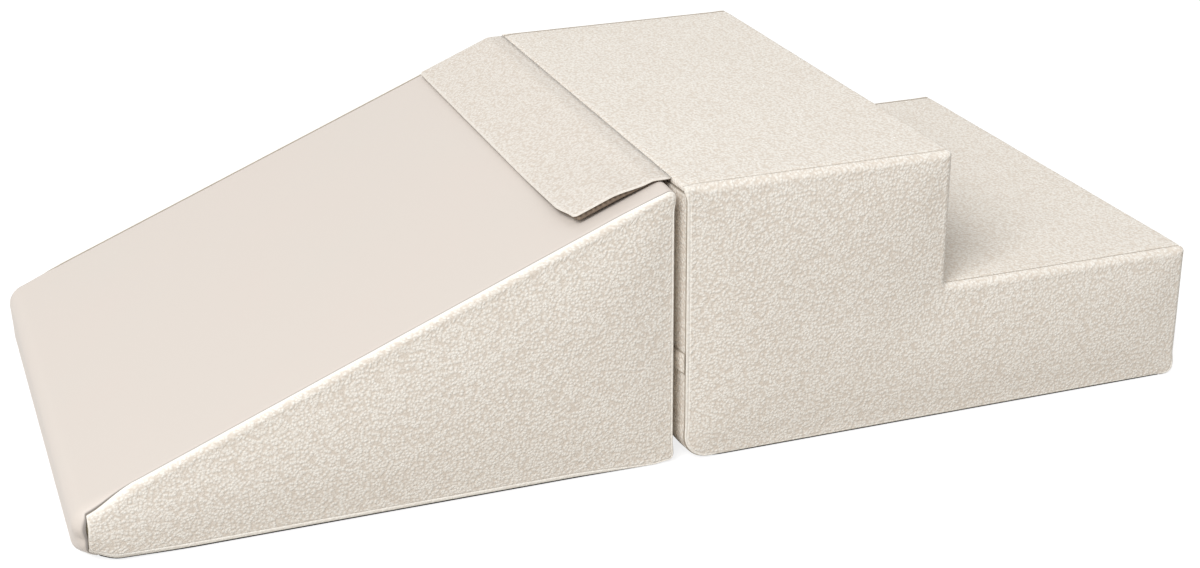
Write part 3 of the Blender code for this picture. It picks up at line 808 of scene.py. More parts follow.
def roll_share(seam):
    """A seam that lies on a tight corner rolls in far less than one on the flat."""
    return mix(TIGHT_ROLL, 1.0, smooth(seam / FLAT_SEAM))


def lumps(x, z, seed):
    """The cloth's slow, slight unevenness, the same at the same place of one panel."""
    slow = noise.noise(Vector((x / LUMP, z / LUMP, seed)))
    rate = SMALL_LUMP_RATE
    quick = noise.noise(Vector((x / LUMP * rate, z / LUMP * rate, seed + SMALL_LUMP_SEED)))
    return LUMP_HEIGHT * (slow + SMALL_LUMP_SHARE * quick)


def pile_share(distance, press):
    """The pile is pressed flat at the seam and stands up a little way off; where it is flat the colour is
    painted lighter, a painted highlight.
    """
    return smooth((distance - PRESSED_FLAT * press) / press)


def painted_seam_share(distance):
    """1 on the border that has turned down into the seam, and 0 just outside it: where shade is painted.
    """
    return 1 - smooth((distance - SEAM_SHADE) / SEAM_SHADE_FADE)


print("a seam is", SEAM_DEPTH / MM, "mm deep")

# %% [markdown]
# A strip panel runs the width of the module between the two side seams. The grid's rows follow the
# outline and its columns cross it, closer together near the borders, where the cloth rolls.

# %% Strip panels
SEAM_GAP = 0.3 * MM
SIDE_SEAM = 9 * MM + SEAM_GAP
COLUMN_STEP = 5 * MM
BORDER_STEPS = [d * MM for d in (0, 0.35, 0.42, 0.6, 0.95, 1.5, 2.3, 4.0, 6.5)]
NORMAL_STEP = 0.5 * MM
ROW_CLEAR = 1.3
FAR_PUCKERS = 7
STRIP_LUMP_SEED = 2.5
STRIP_THINNING = 0.7
LUMPY = {boucle.name: 1.0, leatherette.name: 0.35, base_cloth.name: 0.0}


def border_stations(length, step):
    """Places along a length, closer together at both ends."""
    last = BORDER_STEPS[-1]
    inner = length - 2 * last
    count = max(2, math.ceil(inner / step))
    middle = [last + inner * k / count for k in range(1, count)]
    return BORDER_STEPS + middle + [length - d for d in reversed(BORDER_STEPS)]


def resample(points, places):
    """For each length along a polyline, the number of its segment and the share of it that is done."""
    out = []
    i, done = 0, 0.0
    span = (points[1] - points[0]).length
    for place in places:
        while place > done + span and i < len(points) - 2:
            done += span
            i += 1
            span = (points[i + 1] - points[i]).length
        share = (place - done) / span if span else 0.0
        out.append((i, min(max(share, 0.0), 1.0)))
    return out


def strip_rows(outline):
    """The outline's own stations, with finer ones added near both ends."""
    lengths = [0.0]
    for a, b in zip(outline, outline[1:]):
        lengths.append(lengths[-1] + (b - a).length)
    total = lengths[-1]
    ends = BORDER_STEPS + [total - d for d in BORDER_STEPS]
    clear = BORDER_STEPS[-1] * ROW_CLEAR
    inner = [s for s in lengths if clear < s < total - clear]
    return sorted(set(ends + inner)), total


def strip_cloth(name, path, radii, middle_y, rules, mat, outward):
    """A panel that follows a path across the module, with all four borders rolled into their seams."""
    outer = rounded_outline(path, radii, 0.0, closed=False)
    inner = rounded_outline(path, radii, NORMAL_STEP, closed=False)
    rows, total = strip_rows(outer)
    half = HALF_WIDTH - SIDE_SEAM
    last = BORDER_STEPS[-1]
    stations, widths = [], []
    for s, (i, share) in zip(rows, resample(outer, rows)):
        point = outer[i].lerp(outer[i + 1], share)
        inward = (inner[i].lerp(inner[i + 1], share) - point) / NORMAL_STEP
        radius, slack, seam, _, _, press = (rule(point) for rule in rules)
        stations.append((s, point, inward, radius, slack, seam, press))
        widths.append(2 * (HALF_WIDTH - seam - SEAM_GAP))

    def lie(station, across):
        s, point, inward, radius, slack, seam, press = station
        end = min(s, total - s)
        border = min(across, 2 * half - across)
        if border > last:
            row_half = HALF_WIDTH - seam - SEAM_GAP
            border = last + (border - last) * (row_half - last) / (half - last)
        edge = border + seam + SEAM_GAP
        down, sideways = lean(edge, radius)
        roll = STRIP_DEPTH / SEAM_DEPTH * seam_roll(border, SEAM_DEPTH, STRIP_ROLL) * roll_share(seam)
        end_roll = seam_roll(end)
        pull = seam_pull(border, s + FAR_PUCKERS * (across > half)) * down + seam_pull(end, across)
        uneven = LUMPY[mat.name] * lumps(s, across, STRIP_LUMP_SEED)
        depth = max(roll * down, end_roll) + fall(edge, radius) + slack * slack_share(edge)
        depth += pull * roll_share(seam)
        depth += uneven * smooth(min(border, end) / PULL_REACH)
        at = point + inward * depth
        y = HALF_WIDTH - edge - roll * sideways
        at = Vector((at.x, middle_y + math.copysign(y, across - half), at.y))
        if rules is slide_rules:
            at = push_foot(at)
        thinned = STRIP_THINNING * max(roll / STRIP_DEPTH, end_roll / SEAM_DEPTH)
        near = min(border, end)
        # The border next to a seam gets painted shade.
        return at, (s, across, 0.0), pile_share(near, press), painted_seam_share(near), 1 - thinned

    area = sum((a + b) / 2 * (t - s) for a, b, s, t in zip(widths, widths[1:], rows, rows[1:]))
    columns = border_stations(2 * half, COLUMN_STEP)
    obj = lay_cloth(name, stations, columns, lie, mat, outward, CLOTH)
    return obj, (max(widths), total, area)


def add_strips(strips, middle_y, rules):
    """Makes a module's strip panels, and notes how wide and long each is cut and its area."""
    for node, (path, radii, mat, outward) in strips.items():
        pieces[node], cut_sizes[node] = strip_cloth(
            node + "_cloth", path, radii, middle_y, rules, mat, outward)
        print(node, "is cut", round(cut_sizes[node][1], 3), "m long")


# %% [markdown]
# The slide's cover between its sides: one long leatherette panel from behind the crest, down the
# slope, round the nose and under it, the dark base cloth, and two boucle panels on the face that
# meets the steps, above and below the zip.

# %% Slide: the panels between the sides
SLIDE_TAIL = 34 * MM
UNDER_SEAM = 18 * MM
HEEL_SEAM = 34 * MM
ZIP_HEIGHT = 113 * MM
ZIP_SLOT = 12 * MM
SEW = 0.15 * MM

pieces = {}
cut_sizes = {}
slide_seam = CREST_CORNER - SLIDE_TAIL
base_nose = SLIDE_X0 + UNDER_SEAM
base_heel = SLIDE_X1 - HEEL_SEAM
zip_low, zip_high = ZIP_HEIGHT - ZIP_SLOT / 2, ZIP_HEIGHT + ZIP_SLOT / 2

slide_strips = {
    "slide_surface_panel": (
        ((SLIDE_X1, slide_seam + SEW), (SLIDE_X1, CREST_CORNER), (SLIDE_X0, NOSE_HEIGHT), (SLIDE_X0, 0),
         (base_nose - SEW, 0)),
        (0, CREST_SEWN_ROUND, NOSE_ROUND, NOSE_FOOT_ROUND, 0), leatherette, (-1, 0, 2)),
    "slide_base_panel": (((base_nose + SEW, 0), (base_heel - SEW, 0)), (0, 0), base_cloth, (0, 0, -1)),
    "slide_back_panel_lower": (
        ((base_heel + SEW, 0), (SLIDE_X1, 0), (SLIDE_X1, zip_low)),
        (0, SLIDE_HEEL_ROUND, 0), boucle, (1, 0, -1)),
    "slide_back_panel_upper": (
        ((SLIDE_X1, zip_high), (SLIDE_X1, slide_seam - SEW)), (0, 0), boucle, (1, 0, 0)),
}
add_strips(slide_strips, SLIDE_Y, slide_rules)

# %% [markdown]
# The step block's cover has one boucle panel for top, riser, tread and front, as no seam shows at
# its folds. Under it is the base cloth, and the face that meets the slide has two panels again.

# %% Steps: the panels between the sides
TOP_TAIL = 8 * MM

back_seam = TOP - TOP_TAIL
base_toe = STEPS_X1 - UNDER_SEAM
block_heel = STEPS_X0 + HEEL_SEAM
steps_strips = {
    "steps_top_panel": (
        ((base_toe + SEW, 0), (STEPS_X1, 0), (STEPS_X1, TREAD_HEIGHT), (TOP_END, TREAD_HEIGHT),
         (TOP_END, TOP), (STEPS_X0, TOP), (STEPS_X0, back_seam + SEW)),
        (0, STEP_TOE_ROUND, STEP_EDGE_ROUND, STEP_FOLD_ROUND, STEP_EDGE_ROUND, STEP_SEAM_ROUND, 0),
        boucle, (1, 0, 2)),
    "steps_base_panel": (((block_heel + SEW, 0), (base_toe - SEW, 0)), (0, 0), base_cloth, (0, 0, -1)),
    "steps_back_panel_lower": (
        ((STEPS_X0, zip_low), (STEPS_X0, 0), (block_heel - SEW, 0)),
        (0, STEP_HEEL_ROUND, 0), boucle, (-1, 0, -1)),
    "steps_back_panel_upper": (
        ((STEPS_X0, back_seam - SEW), (STEPS_X0, zip_high)), (0, 0), boucle, (-1, 0, 0)),
}
add_strips(steps_strips, STEPS_Y, steps_rules)

# %% [markdown]
# A side panel is one flat piece whose border wraps over the block's edge to the seam. Its border is
# a band of rings that follow the outline, so that the roll and the seam run true, and its middle is
# an even grid, trimmed to the band and joined to it by triangles, which lie flat and don't show.

# %% Side panels
FLAT_REACH = 4.5 * MM
RING_STEP = 1.2 * MM
FLAT_RINGS = 9
CROWN = 12 * MM
CROWN_REACH = 80 * MM
CROWN_START = 8 * MM
CREASE_HALF = 0.8 * MM
CREASE_PRESS = 2.0 * MM
CREASE_DEPTH = 0.7 * MM
CREASE_PILE = 0.45
LEVEL_STEP = 1 * MM
LEVELS = 34
TOP_LEVEL = LEVELS - 1.001
MIDDLE_CELL = 4 * MM
TRIM_GAP = 0.6
RING_GAP = 0.2 * MM
FLAT_ENOUGH = 0.02 * MM
SIDE_CLOTH_SEAM = 9.0 * MM
SIDE_LUMP_SEED = 5.5
SIDE_THINNING = 0.6
SHADE_NARROWER = 2.0
BORDER_FIRST = BORDER_STEPS[:6]
FOLD_LEAST = 6 * MM


def inset_levels(corners, radii, first=0.0):
    """One outline moved inwards in even steps, starting at the inset first."""
    return [rounded_outline(corners, radii, first + LEVEL_STEP * k) for k in range(LEVELS)]


def at_level(levels, i, inset):
    """Point i of the outline moved inwards by inset, found between two of its levels."""
    level = min(inset / LEVEL_STEP, TOP_LEVEL)
    low = int(level)
    return levels[low][i].lerp(levels[low + 1][i], level - low)


def fold_start(radius, seam):
    """How far round the edge the seam lies: 0 on the strip's face, a quarter turn on the side."""
    return math.asin(1 - seam / radius) if radius > seam else 0.0


def fold_profile(length, radius, seam):
    """Inset, distance from the side plane and angle, length metres along the cloth from its seam."""
    straight = max(seam - radius, 0.0)
    if length < straight:
        return 0.0, seam - length, 0.0
    angle = min(fold_start(radius, seam) + (length - straight) / radius, math.pi / 2)
    return radius * (1 - math.cos(angle)), radius * (1 - math.sin(angle)), angle


def fold_length(radius, seam):
    """The cloth's length from its seam to where it lies flat on the side."""
    return max(seam - radius, 0.0) + radius * (math.pi / 2 - fold_start(radius, seam))


def crown_rule(corners):
    """How far a stuffed side bulges: nothing at its border, most where every edge is far away."""
    edges = [(Vector(a), Vector(b) - Vector(a)) for a, b in zip(corners, corners[1:] + corners[:1])]

    def crown(x, z):
        nearness = 0.0
        for start, run in edges:
            point = Vector((x, z)) - start
            share = min(max(point.dot(run) / run.length_squared, 0.0), 1.0)
            gap = max((point - share * run).length - EDGE_ROUND, 0.01 * MM)
            nearness += gap ** -2
        gap = nearness ** -0.5
        return CROWN * (1 - math.exp(-gap / CROWN_REACH)) * gap / (gap + CROWN_START)
    return crown


def side_cloth(name, corners, radii, plane_y, side, rules):
    """side is -1 for the near side and 1 for the far one."""
    levels = inset_levels(corners, radii)
    count = len(levels[0])
    crown = crown_rule(corners)
    stations = []
    along = 0.0
    for i in range(count):
        stations.append([along] + [rule(levels[0][i]) for rule in rules])
        along += (levels[0][(i + 1) % count] - levels[0][i]).length
    folded = math.ceil(fold_length(EDGE_ROUND, SIDE_CLOTH_SEAM) / RING_STEP)
    rings = len(BORDER_FIRST) + folded + FLAT_RINGS

    bm = bmesh.new()
    place, pile, painted_seam_layer, group = cloth_layers(bm)
    table = grid(bm, rings, count + 1)
    for c in range(count + 1):
        along, radius, slack, seam, creased, crease_place, press = stations[c % count]
        reach = fold_length(radius, seam)
        borders = [d * min(1.0, reach / FOLD_LEAST) for d in BORDER_FIRST]
        lengths = borders + [mix(borders[-1], reach, k / folded) for k in range(1, folded + 1)]
        lengths += [reach + FLAT_REACH * k / FLAT_RINGS for k in range(1, FLAT_RINGS + 1)]
        unfolded = at_level(levels, c % count, radius + FLAT_REACH + slack)
        outwards = levels[0][c % count] - unfolded
        outwards.normalize()
        for r, length in enumerate(lengths):
            inset, edge, angle = fold_profile(min(length, reach), radius, seam)
            inset += max(length - reach, 0.0)
            roll = seam_roll(length, SIDE_DEPTH, SIDE_ROLL) * roll_share(seam)
            if length < reach:
                roll += seam_pull(length, along) * (1 - length / reach) * roll_share(seam)
            drawn = inset + roll * math.cos(angle) + slack * slack_share(edge)
            at = at_level(levels, c % count, drawn)
            dent = abs(inset - crease_place) / CREASE_HALF
            dent = CREASE_DEPTH * creased * (1 - smooth(dent))
            vert = table[r][c]
            vert.co = (at.x, plane_y - side * (edge + roll * math.sin(angle) + dent), at.y)
            flat = unfolded + outwards * (reach - length + FLAT_REACH)
            vert[place] = (flat.x, flat.y, 0.0)
            lying = mix(CREASE_PILE, 1.0, smooth((inset - crease_place) / CREASE_PRESS))
            vert[pile] = mix(pile_share(length, press), lying, creased)
            # The side panel's painted seam shade is half as wide.
            vert[painted_seam_layer] = painted_seam_share(SHADE_NARROWER * length)
            vert[group][0] = 1 - SIDE_THINNING * min(roll / SIDE_DEPTH, 1.0)
    bmesh.ops.remove_doubles(bm, verts=bm.verts, dist=WELD)

    ring = []
    for i in range(count):
        point = at_level(levels, i, stations[i][1] + FLAT_REACH + stations[i][2])
        if not ring or (point - ring[-1]).length > RING_GAP:
            ring.append(point)
    fill_middle(bm, ring, plane_y, place, pile, group)
    for vert in bm.verts:
        bulge = crown(vert.co.x, vert.co.z)
        uneven = lumps(vert.co.x, vert.co.z, SIDE_LUMP_SEED * side) * min(1.0, 2 * bulge / CROWN)
        vert.co.y += side * (bulge + uneven)
        if rules is slide_rules:
            vert.co = push_foot(vert.co)
    obj = make_piece(bm, name, boucle, (0, side, 0))
    return thicken(obj, CLOTH)


def fill_middle(bm, ring, plane_y, place, pile, group):
    """Fills the band's flat inner edge with an even grid, and joins the two with triangles."""
    count = len(ring)
    tree = KDTree(count)
    inwards = []
    for k, point in enumerate(ring):
        tree.insert((point.x, 0.0, point.y), k)
        tangent = ring[(k + 1) % count] - ring[k - 1]
        inwards.append(Vector((-tangent.y, 0.0, tangent.x)))
    tree.balance()
    low = Vector((min(p.x for p in ring), min(p.y for p in ring)))
    high = Vector((max(p.x for p in ring), max(p.y for p in ring)))
    nx = round((high.x - low.x) / MIDDLE_CELL) + 1
    nz = round((high.y - low.y) / MIDDLE_CELL) + 1
    table = grid(bm, nx, nz)
    outside = []
    for i, line in enumerate(table):
        for k, vert in enumerate(line):
            spot = Vector((mix(low.x, high.x, i / (nx - 1)), 0.0, mix(low.y, high.y, k / (nz - 1))))
            near, index, gap = tree.find(spot)
            vert.co = (spot.x, plane_y, spot.z)
            vert[place] = (spot.x, spot.z, 0.0)
            vert[pile] = 1.0
            vert[group][0] = 1.0
            if gap < TRIM_GAP * MIDDLE_CELL or (spot - near).dot(inwards[index]) < 0:
                outside.append(vert)
    bmesh.ops.delete(bm, geom=outside, context="VERTS")
    loose = [v for v in bm.verts if not v.link_faces]
    bmesh.ops.delete(bm, geom=loose, context="VERTS")
    rims = [e for e in bm.edges if e.is_boundary]
    edge = [e for e in rims if all(abs(v.co.y - plane_y) < FLAT_ENOUGH for v in e.verts)]
    bmesh.ops.triangle_fill(bm, use_beauty=True, edges=edge, normal=(0, 1, 0))


outlines = {
    "slide": (slide_corners, slide_radii, SLIDE_Y, slide_rules),
    "steps": (steps_corners, steps_radii, STEPS_Y, steps_rules),
}
for module, (corners, radii, middle_y, rules) in outlines.items():
    for word, side in (("near", -1), ("far", 1)):
        node = f"{module}_side_panel_{word}"
        plane_y = middle_y + side * HALF_WIDTH
        pieces[node] = side_cloth(node + "_cloth", corners, radii, plane_y, side, rules)
        print(node, "has", len(pieces[node].data.polygons), "faces")

# %% [markdown]
# The foam is cut to the same outline, 3.3 mm inside the cover's, and rounded over towards
# its sides in the same way, so that the cover lies on it all round. A shallow channel behind the
# zip leaves room for its tapes and slider. Each block is a grid wound round the outline once for
# every station across the width, and its two ends are closed by one face each.

# %% Foam blocks
FOAM_INSET = 3.3 * MM
CHANNEL_HALF = 15 * MM
CHANNEL_DEPTH = 3.7 * MM
FOAM_ROUND_STEPS = 6
FOAM_PLACES = [place * MM for place in (9, 15, 22, 30)]
GLUE_ROUND = 1 * MM


def channel(x, inwards):
    """The corners of the zip's channel in an upright face, from the bottom up."""
    deep = x + inwards * CHANNEL_DEPTH
    low, high = ZIP_HEIGHT - CHANNEL_HALF, ZIP_HEIGHT + CHANNEL_HALF
    return ((x, low), (deep, low), (deep, high), (x, high))


def foam_block(name, corners, radii, middle_y, rules):
    levels = inset_levels(corners, radii, FOAM_INSET)
    count = len(levels[0])
    cover = rounded_outline(corners, radii)
    rounds = [max(rules[0](point) - FOAM_INSET, LEAST_ROUND) for point in cover]
    slacks = [rules[1](point) for point in cover]
    half = HALF_WIDTH - FOAM_INSET
    bends = [1 - math.cos(math.pi / 2 * k / FOAM_ROUND_STEPS) for k in range(FOAM_ROUND_STEPS + 1)]
    rows = len(bends) + len(FOAM_PLACES)
    bm = bmesh.new()
    table = grid(bm, 2 * rows, count + 1)
    for r, line in enumerate(table):
        near = r < rows
        order = r if near else 2 * rows - 1 - r
        for c, vert in enumerate(line):
            i = c % count
            edge = bends[order] * rounds[i] if order < len(bends) else FOAM_PLACES[order - len(bends)]
            edge = max(edge, rounds[i]) if order >= len(bends) else edge
            drop = fall(edge, rounds[i]) + slacks[i] * slack_share(edge + FOAM_INSET)
            at = at_level(levels, i, drop)
            vert.co = (at.x, middle_y - half + edge if near else middle_y + half - edge, at.y)
            if rules is slide_rules:
                vert.co = push_foot(vert.co)
    bmesh.ops.remove_doubles(bm, verts=bm.verts, dist=WELD)
    rims = [e for e in bm.edges if e.is_boundary]
    bmesh.ops.holes_fill(bm, edges=rims, sides=0)
    obj = make_piece(bm, name, foam, None)
    print(name, "has", len(obj.data.polygons), "faces")
    return obj


slide_back, steps_back = channel(SLIDE_X1, -1), channel(STEPS_X0, 1)
flat_round = (0.0,) * 4
glue_height = TREAD_HEIGHT - 2 * FOAM_INSET
foam_blocks = {
    "slide_foam_core": (
        slide_corners[:1] + slide_back + slide_corners[1:],
        slide_radii[:1] + flat_round + slide_radii[1:], SLIDE_Y, slide_rules),
    "steps_foam_lower": (
        steps_corners[:3] + ((STEPS_X0, TREAD_HEIGHT),) + tuple(reversed(steps_back)),
        steps_radii[:3] + (GLUE_ROUND,) + flat_round, STEPS_Y, steps_rules),
    "steps_foam_upper": (
        ((STEPS_X0, glue_height), (TOP_END, glue_height)) + steps_corners[4:],
        (GLUE_ROUND, GLUE_ROUND) + steps_radii[4:], STEPS_Y, steps_rules),
}
for node, block in foam_blocks.items():
    pieces[node] = foam_block(node + "_block", *block)

# %% [markdown]
# The flap is sewn into the top edge of the step block, runs level over the gap, bends round the
# crest and lies down the slope. It was left slightly lifted at its near corner. The rule below bends
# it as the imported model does: a place along and across the flat cloth gives its place in the world.
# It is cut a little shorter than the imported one, and its near corner is drawn in.

# %% The flap's shape
FLAP_LENGTH = 115.5 * MM
FLAP_NEAR_MARGIN = 35 * MM
FLAP_FAR_MARGIN = 12 * MM
FLAP_CORNER = 6 * MM
FLAP_DRAW = 6 * MM
FLAP_DRAW_REACH = 45 * MM
FLAP_OUTER = 1.8 * MM
FLAP_LINING = 0.7 * MM
LINING_MARGIN = 0.4 * MM
LINING_CURL = 4.5 * MM
LINING_END_CURL = 1.0 * MM
HEM = 4 * MM
HEM_DEPTH = 0.4 * MM
HEM_HALF = 0.8 * MM
FLAP_LIFT = 6 * MM
FLAP_LIFT_RUN = 45 * MM
FLAP_LIFT_SPREAD = 170 * MM
HINGE_GAP = 0.3 * MM
FLAP_STACK = 5.7 * MM
FLAP_SPACING = 3 * MM
FLAP_ROLL = 1.6 * MM
FLAP_TURN = 0.8
FLAP_THINNING = 0.75
FLAP_EDGE_PILE = 0.35
FLAP_PILE_REACH = 4 * MM
CURL_REACH = 4 * MM
CLEARANCE = 0.3 * MM
LINING_DEPTH = FLAP_OUTER + CLEARANCE

FLAP_FLAT = STEPS_X0 - SLIDE_X1 - HINGE_GAP + CREST_ROUND
FLAP_RADIUS = CREST_ROUND + FLAP_STACK
FLAP_BEND = FLAP_RADIUS * SLOPE
FLAP_NEAR_Y = STEPS_Y - HALF_WIDTH + FLAP_NEAR_MARGIN
FLAP_FAR_Y = STEPS_Y + HALF_WIDTH - FLAP_FAR_MARGIN
HINGE = Vector((STEPS_X0 - HINGE_GAP, STEPS_Y, TOP))


def flap_point(along, y, depth, drop=0.0):
    """A point of the flap: along it from the hinge, then down into it by depth."""
    bent = min(max(along - FLAP_FLAT, 0.0) / FLAP_BEND, 1.0) * SLOPE
    straight = max(along - FLAP_FLAT - FLAP_BEND, 0.0)
    level = min(along, FLAP_FLAT)
    free = smooth(straight / FLAP_LIFT_RUN) * (1 - smooth((y - FLAP_NEAR_Y) / FLAP_LIFT_SPREAD))
    radius = FLAP_RADIUS - depth + (FLAP_LIFT - drop) * free
    x = HINGE.x - level - radius * math.sin(bent) - straight * math.cos(bent)
    z = HINGE.z - HINGE_GAP - FLAP_RADIUS + radius * math.cos(bent) - straight * math.sin(bent)
    return Vector((x, y, z))


def flap_cloth(name, margin, depth, thickness, mat, curl):
    """One cloth of the flap, with round free corners and borders turned down.

    The lining is the looser cloth, so its raw near edge curls down below the outer one.
    """
    near, far = FLAP_NEAR_Y + margin, FLAP_FAR_Y - margin
    length, corner = FLAP_LENGTH - margin, FLAP_CORNER - margin

    def lie(row, across):
        border = min(across, far - near - across)
        short = FLAP_DRAW * (1 - smooth(across / FLAP_DRAW_REACH))
        if border < corner:
            short += corner - math.sqrt(corner ** 2 - (corner - border) ** 2)
        along = row * (length - short) / length
        end = length - short - along
        turned = seam_roll(min(border, end), thickness, FLAP_ROLL)
        hem = HEM_DEPTH * (1 - smooth(abs(across - HEM) / HEM_HALF)) * (not curl)
        hang = 0.0
        if curl:
            lifted = smooth((along - FLAP_FLAT - FLAP_BEND) / FLAP_LIFT_RUN)
            hang = curl * lifted * (1 - smooth(across / CURL_REACH))
            hang = max(hang, LINING_END_CURL * (1 - smooth(end / CURL_REACH)))
        at = flap_point(along, near + across, depth + turned * FLAP_TURN + hem + hang)
        raised = mix(FLAP_EDGE_PILE, 1.0, smooth(min(border, end) / FLAP_PILE_REACH))
        return at, (along, across, 0.0), raised, 0.0, 1 - FLAP_THINNING * turned / thickness

    columns = border_stations(far - near, FLAP_SPACING)
    rows = [0.0] + border_stations(length, FLAP_SPACING)[len(BORDER_STEPS) - 1:]
    return lay_cloth(name, rows, columns, lie, mat, (-1, 0, 2), thickness)


pieces["flap_outer"] = flap_cloth("flap_outer_cloth", 0.0, 0.0, FLAP_OUTER, boucle_painted_darker, 0.0)
pieces["flap_lining"] = flap_cloth(
    "flap_lining_cloth", LINING_MARGIN, LINING_DEPTH, FLAP_LINING, lining_twill, LINING_CURL)
print("flap cut", round(FLAP_FAR_Y - FLAP_NEAR_Y, 3), "by", FLAP_LENGTH, "m")

# %% [markdown]
# Each zip has a fly of boucle over it, a band 24 mm high that is sewn above the slot. It hides the
# tapes, the coils and the slider, and it is the band that shows in the gap between the modules. Its
# ends sink 1.5 mm towards the side seams, where it is sewn down.

# %% Flies
FLY = 1.5 * MM
FLY_REACH = 7.8 * MM
FLY_SINK = 1.5 * MM
FLY_SUNK = 3 * MM
FLY_SUNK_FADE = 6 * MM
BAND_STEP = 2 * MM
BAND_ROLL = 1.4 * MM
BAND_TURN = 0.8
BAND_THINNING = 0.8
BAND_EDGE_PILE = 0.3
BAND_PILE_REACH = 3 * MM
ZIP_TAPE = 0.6 * MM
ZIP_TAPE_ROLL = 0.1 * MM
MEETING_EDGE = {"slide": (slide_table, 0), "steps": (steps_table, -1)}


def band_cloth(name, low, high, axis_out, mat, thickness, roll, slack=0.0, rounding=0.0):
    """A band from corner to corner, its borders turned in. axis_out is +1 or -1 along X.

    A band with slack and rounding sinks at its ends, and follows the panel under it, which falls
    away beside the seams.
    """
    width, height = high[1] - low[1], high[2] - low[2]
    face_x = high[0] if axis_out > 0 else low[0]

    def lie(up, across):
        aside = min(across, width - across)
        border = min(aside, up, height - up)
        turned = seam_roll(border, roll, BAND_ROLL)
        edge = aside + SIDE_SEAM - FLY_REACH
        ends = 1 - smooth((aside - FLY_SUNK) / FLY_SUNK_FADE)
        sunk = max(turned, ends * FLY_SINK * (rounding > 0))
        sunk += slack * slack_share(edge) + fall(edge, rounding)
        at = (face_x - axis_out * sunk, low[1] + across, low[2] + up)
        raised = mix(BAND_EDGE_PILE, 1.0, smooth(border / BAND_PILE_REACH))
        # The band's borders are painted darker where they turn in: painted shade.
        return at, (up, across, 0.0), raised, painted_seam_share(border), 1 - BAND_THINNING * turned / thickness

    rows, columns = border_stations(height, BAND_STEP), border_stations(width, COLUMN_STEP)
    return lay_cloth(name, rows, columns, lie, mat, (axis_out, 0, 0), thickness)


for module, out in (("slide", 1), ("steps", -1)):
    node = f"{module}_zip_fly"
    rule_table, meeting = MEETING_EDGE[module]
    slack, rounding = rule_table["slack"][1][meeting], rule_table["round"][1][meeting]
    low, high = (Vector(corner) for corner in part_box(node))
    low.y, high.y = low.y - FLY_REACH, high.y + FLY_REACH
    pieces[node] = band_cloth(
        node + "_cloth", low, high, out, boucle, FLY, FLY * BAND_TURN, slack, rounding)
    for word in ("upper", "lower"):
        tape = f"{module}_zip_tape_{word}"
        pieces[tape] = band_cloth(
            tape + "_cloth", *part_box(tape), out, nylon_tape, ZIP_TAPE, ZIP_TAPE_ROLL)

# %% [markdown]
# A coil zip has no teeth but a nylon thread wound into a flattened spring, sewn along each tape.
# The spring is a helix, so one formula gives its points and a curve with a round section draws it.

# %% Zip coils
COIL_PITCH = 1.5 * MM
COIL_WIRE = 0.28 * MM
TURN_POINTS = 8


def coil(node):
    low, high = (Vector(corner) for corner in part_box(node))
    centre, half = (low + high) / 2, (high - low) / 2
    turns = round(2 * half.y / COIL_PITCH)
    curve = bpy.data.curves.new(node + "_spring", "CURVE")
    curve.dimensions = "3D"
    curve.bevel_depth = COIL_WIRE
    curve.bevel_resolution = 0
    curve.use_fill_caps = True
    spline = curve.splines.new("POLY")
    spline.points.add(turns * TURN_POINTS)
    for k, point in enumerate(spline.points):
        angle = 2 * math.pi * k / TURN_POINTS
        x = centre.x + (half.x - COIL_WIRE) * math.cos(angle)
        z = centre.z + (half.z - COIL_WIRE) * math.sin(angle)
        y = mix(low.y + COIL_WIRE, high.y - COIL_WIRE, k / (turns * TURN_POINTS))
        point.co = (x, y, z, 1)
    curve.materials.append(coil_nylon)
    obj = bpy.data.objects.new(node + "_spring", curve)
    bpy.context.scene.collection.objects.link(obj)
    print(node, "has", turns, "turns")
    return obj


for module in ("slide", "steps"):
    for word in ("upper", "lower"):
        node = f"{module}_zip_coil_{word}"
        pieces[node] = coil(node)

# %% [markdown]
# The zip sliders are right as they are, two plates and a post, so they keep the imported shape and
# only get their metal. The loop tape on the slide and the hook tape under the flap are plain tapes.

# %% Sliders and tapes
for node in ("slide_zip_slider", "steps_zip_slider"):
    frame["nodes"][node].data.materials.clear()
    frame["nodes"][node].data.materials.append(zinc)

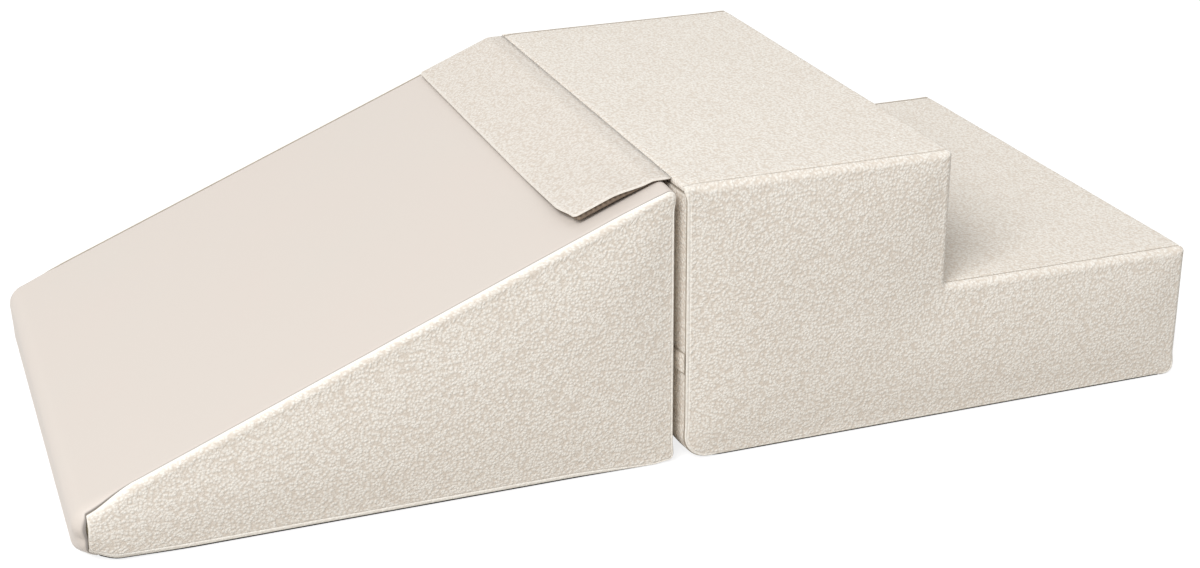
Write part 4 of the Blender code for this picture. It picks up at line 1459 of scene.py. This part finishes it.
HOOK_WIDTH = 40 * MM
HOOK_MARGIN = 8 * MM
HOOK_END_MARGIN = 10 * MM
TAPE = 1.0 * MM
TAPE_SHELL = TAPE * 0.9
TAPE_TURN = 0.3 * MM
TAPE_ROLL = 1.0 * MM
TAPE_THINNING = 0.5
LOOP_END_MARGIN = 14 * MM
HOOK_DEPTH = LINING_DEPTH + FLAP_LINING + CLEARANCE
LOOP_DEPTH = FLAP_STACK - TAPE - CLEARANCE
TAPE_LAST = FLAP_LENGTH - HOOK_MARGIN
TAPE_FIRST = TAPE_LAST - HOOK_WIDTH


def tape_cloth(name, margin, depth, mat, drop):
    """A tape that follows the flap at a depth below its top. The drop undoes the flap's lift."""
    near, far = FLAP_NEAR_Y + margin, FLAP_FAR_Y - margin

    def lie(row, across):
        border = min(row, TAPE_LAST - TAPE_FIRST - row, across, far - near - across)
        turned = seam_roll(border, TAPE_TURN, TAPE_ROLL)
        at = flap_point(TAPE_FIRST + row, near + across, depth + turned, drop)
        return at, (row, across, 0.0), 1.0, 0.0, 1 - TAPE_THINNING * turned / TAPE

    rows = border_stations(TAPE_LAST - TAPE_FIRST, BAND_STEP)
    columns = border_stations(far - near, COLUMN_STEP)
    return lay_cloth(name, rows, columns, lie, mat, (-1, 0, 2), TAPE_SHELL)


pieces["flap_hook_tape"] = tape_cloth(
    "flap_hook_tape_cloth", HOOK_END_MARGIN, HOOK_DEPTH, hook_tape, 0.0)
pieces["slide_loop_tape"] = tape_cloth(
    "slide_loop_tape_cloth", LOOP_END_MARGIN, LOOP_DEPTH, loop_tape, FLAP_LIFT)

# %% [markdown]
# Each piece hides its plain solid. The flap's two cloths stay where they lie in the world, and every
# other piece rides on the body that carries it.

body_of = {node: body for body, nodes in frame["record"]["behaviour"]["bodies"].items() for node in nodes}

for node, piece in pieces.items():
    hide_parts(node)
    if node in ("flap_outer", "flap_lining"):
        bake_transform(piece)
    else:
        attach(piece, body_of[node])

for node, (width, length, area) in cut_sizes.items():
    module = node.split("_")[0]
wrap = fold_length(EDGE_ROUND, SIDE_CLOTH_SEAM) / 2 - EDGE_ROUND / 2
for module in ("slide", "steps"):
    corners = outlines[module][0]
    edges = list(zip(corners, corners[1:] + corners[:1]))
    xs, zs = zip(*corners)
    size = (max(xs) - min(xs) + 2 * wrap, max(zs) - min(zs) + 2 * wrap)
    rim = sum((Vector(b) - Vector(a)).length for a, b in edges)
    for word in ("upper", "lower"):
        tape = f"{module}_zip_tape_{word}"
        low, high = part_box(tape)
print(len(pieces), "pieces replace their solids")
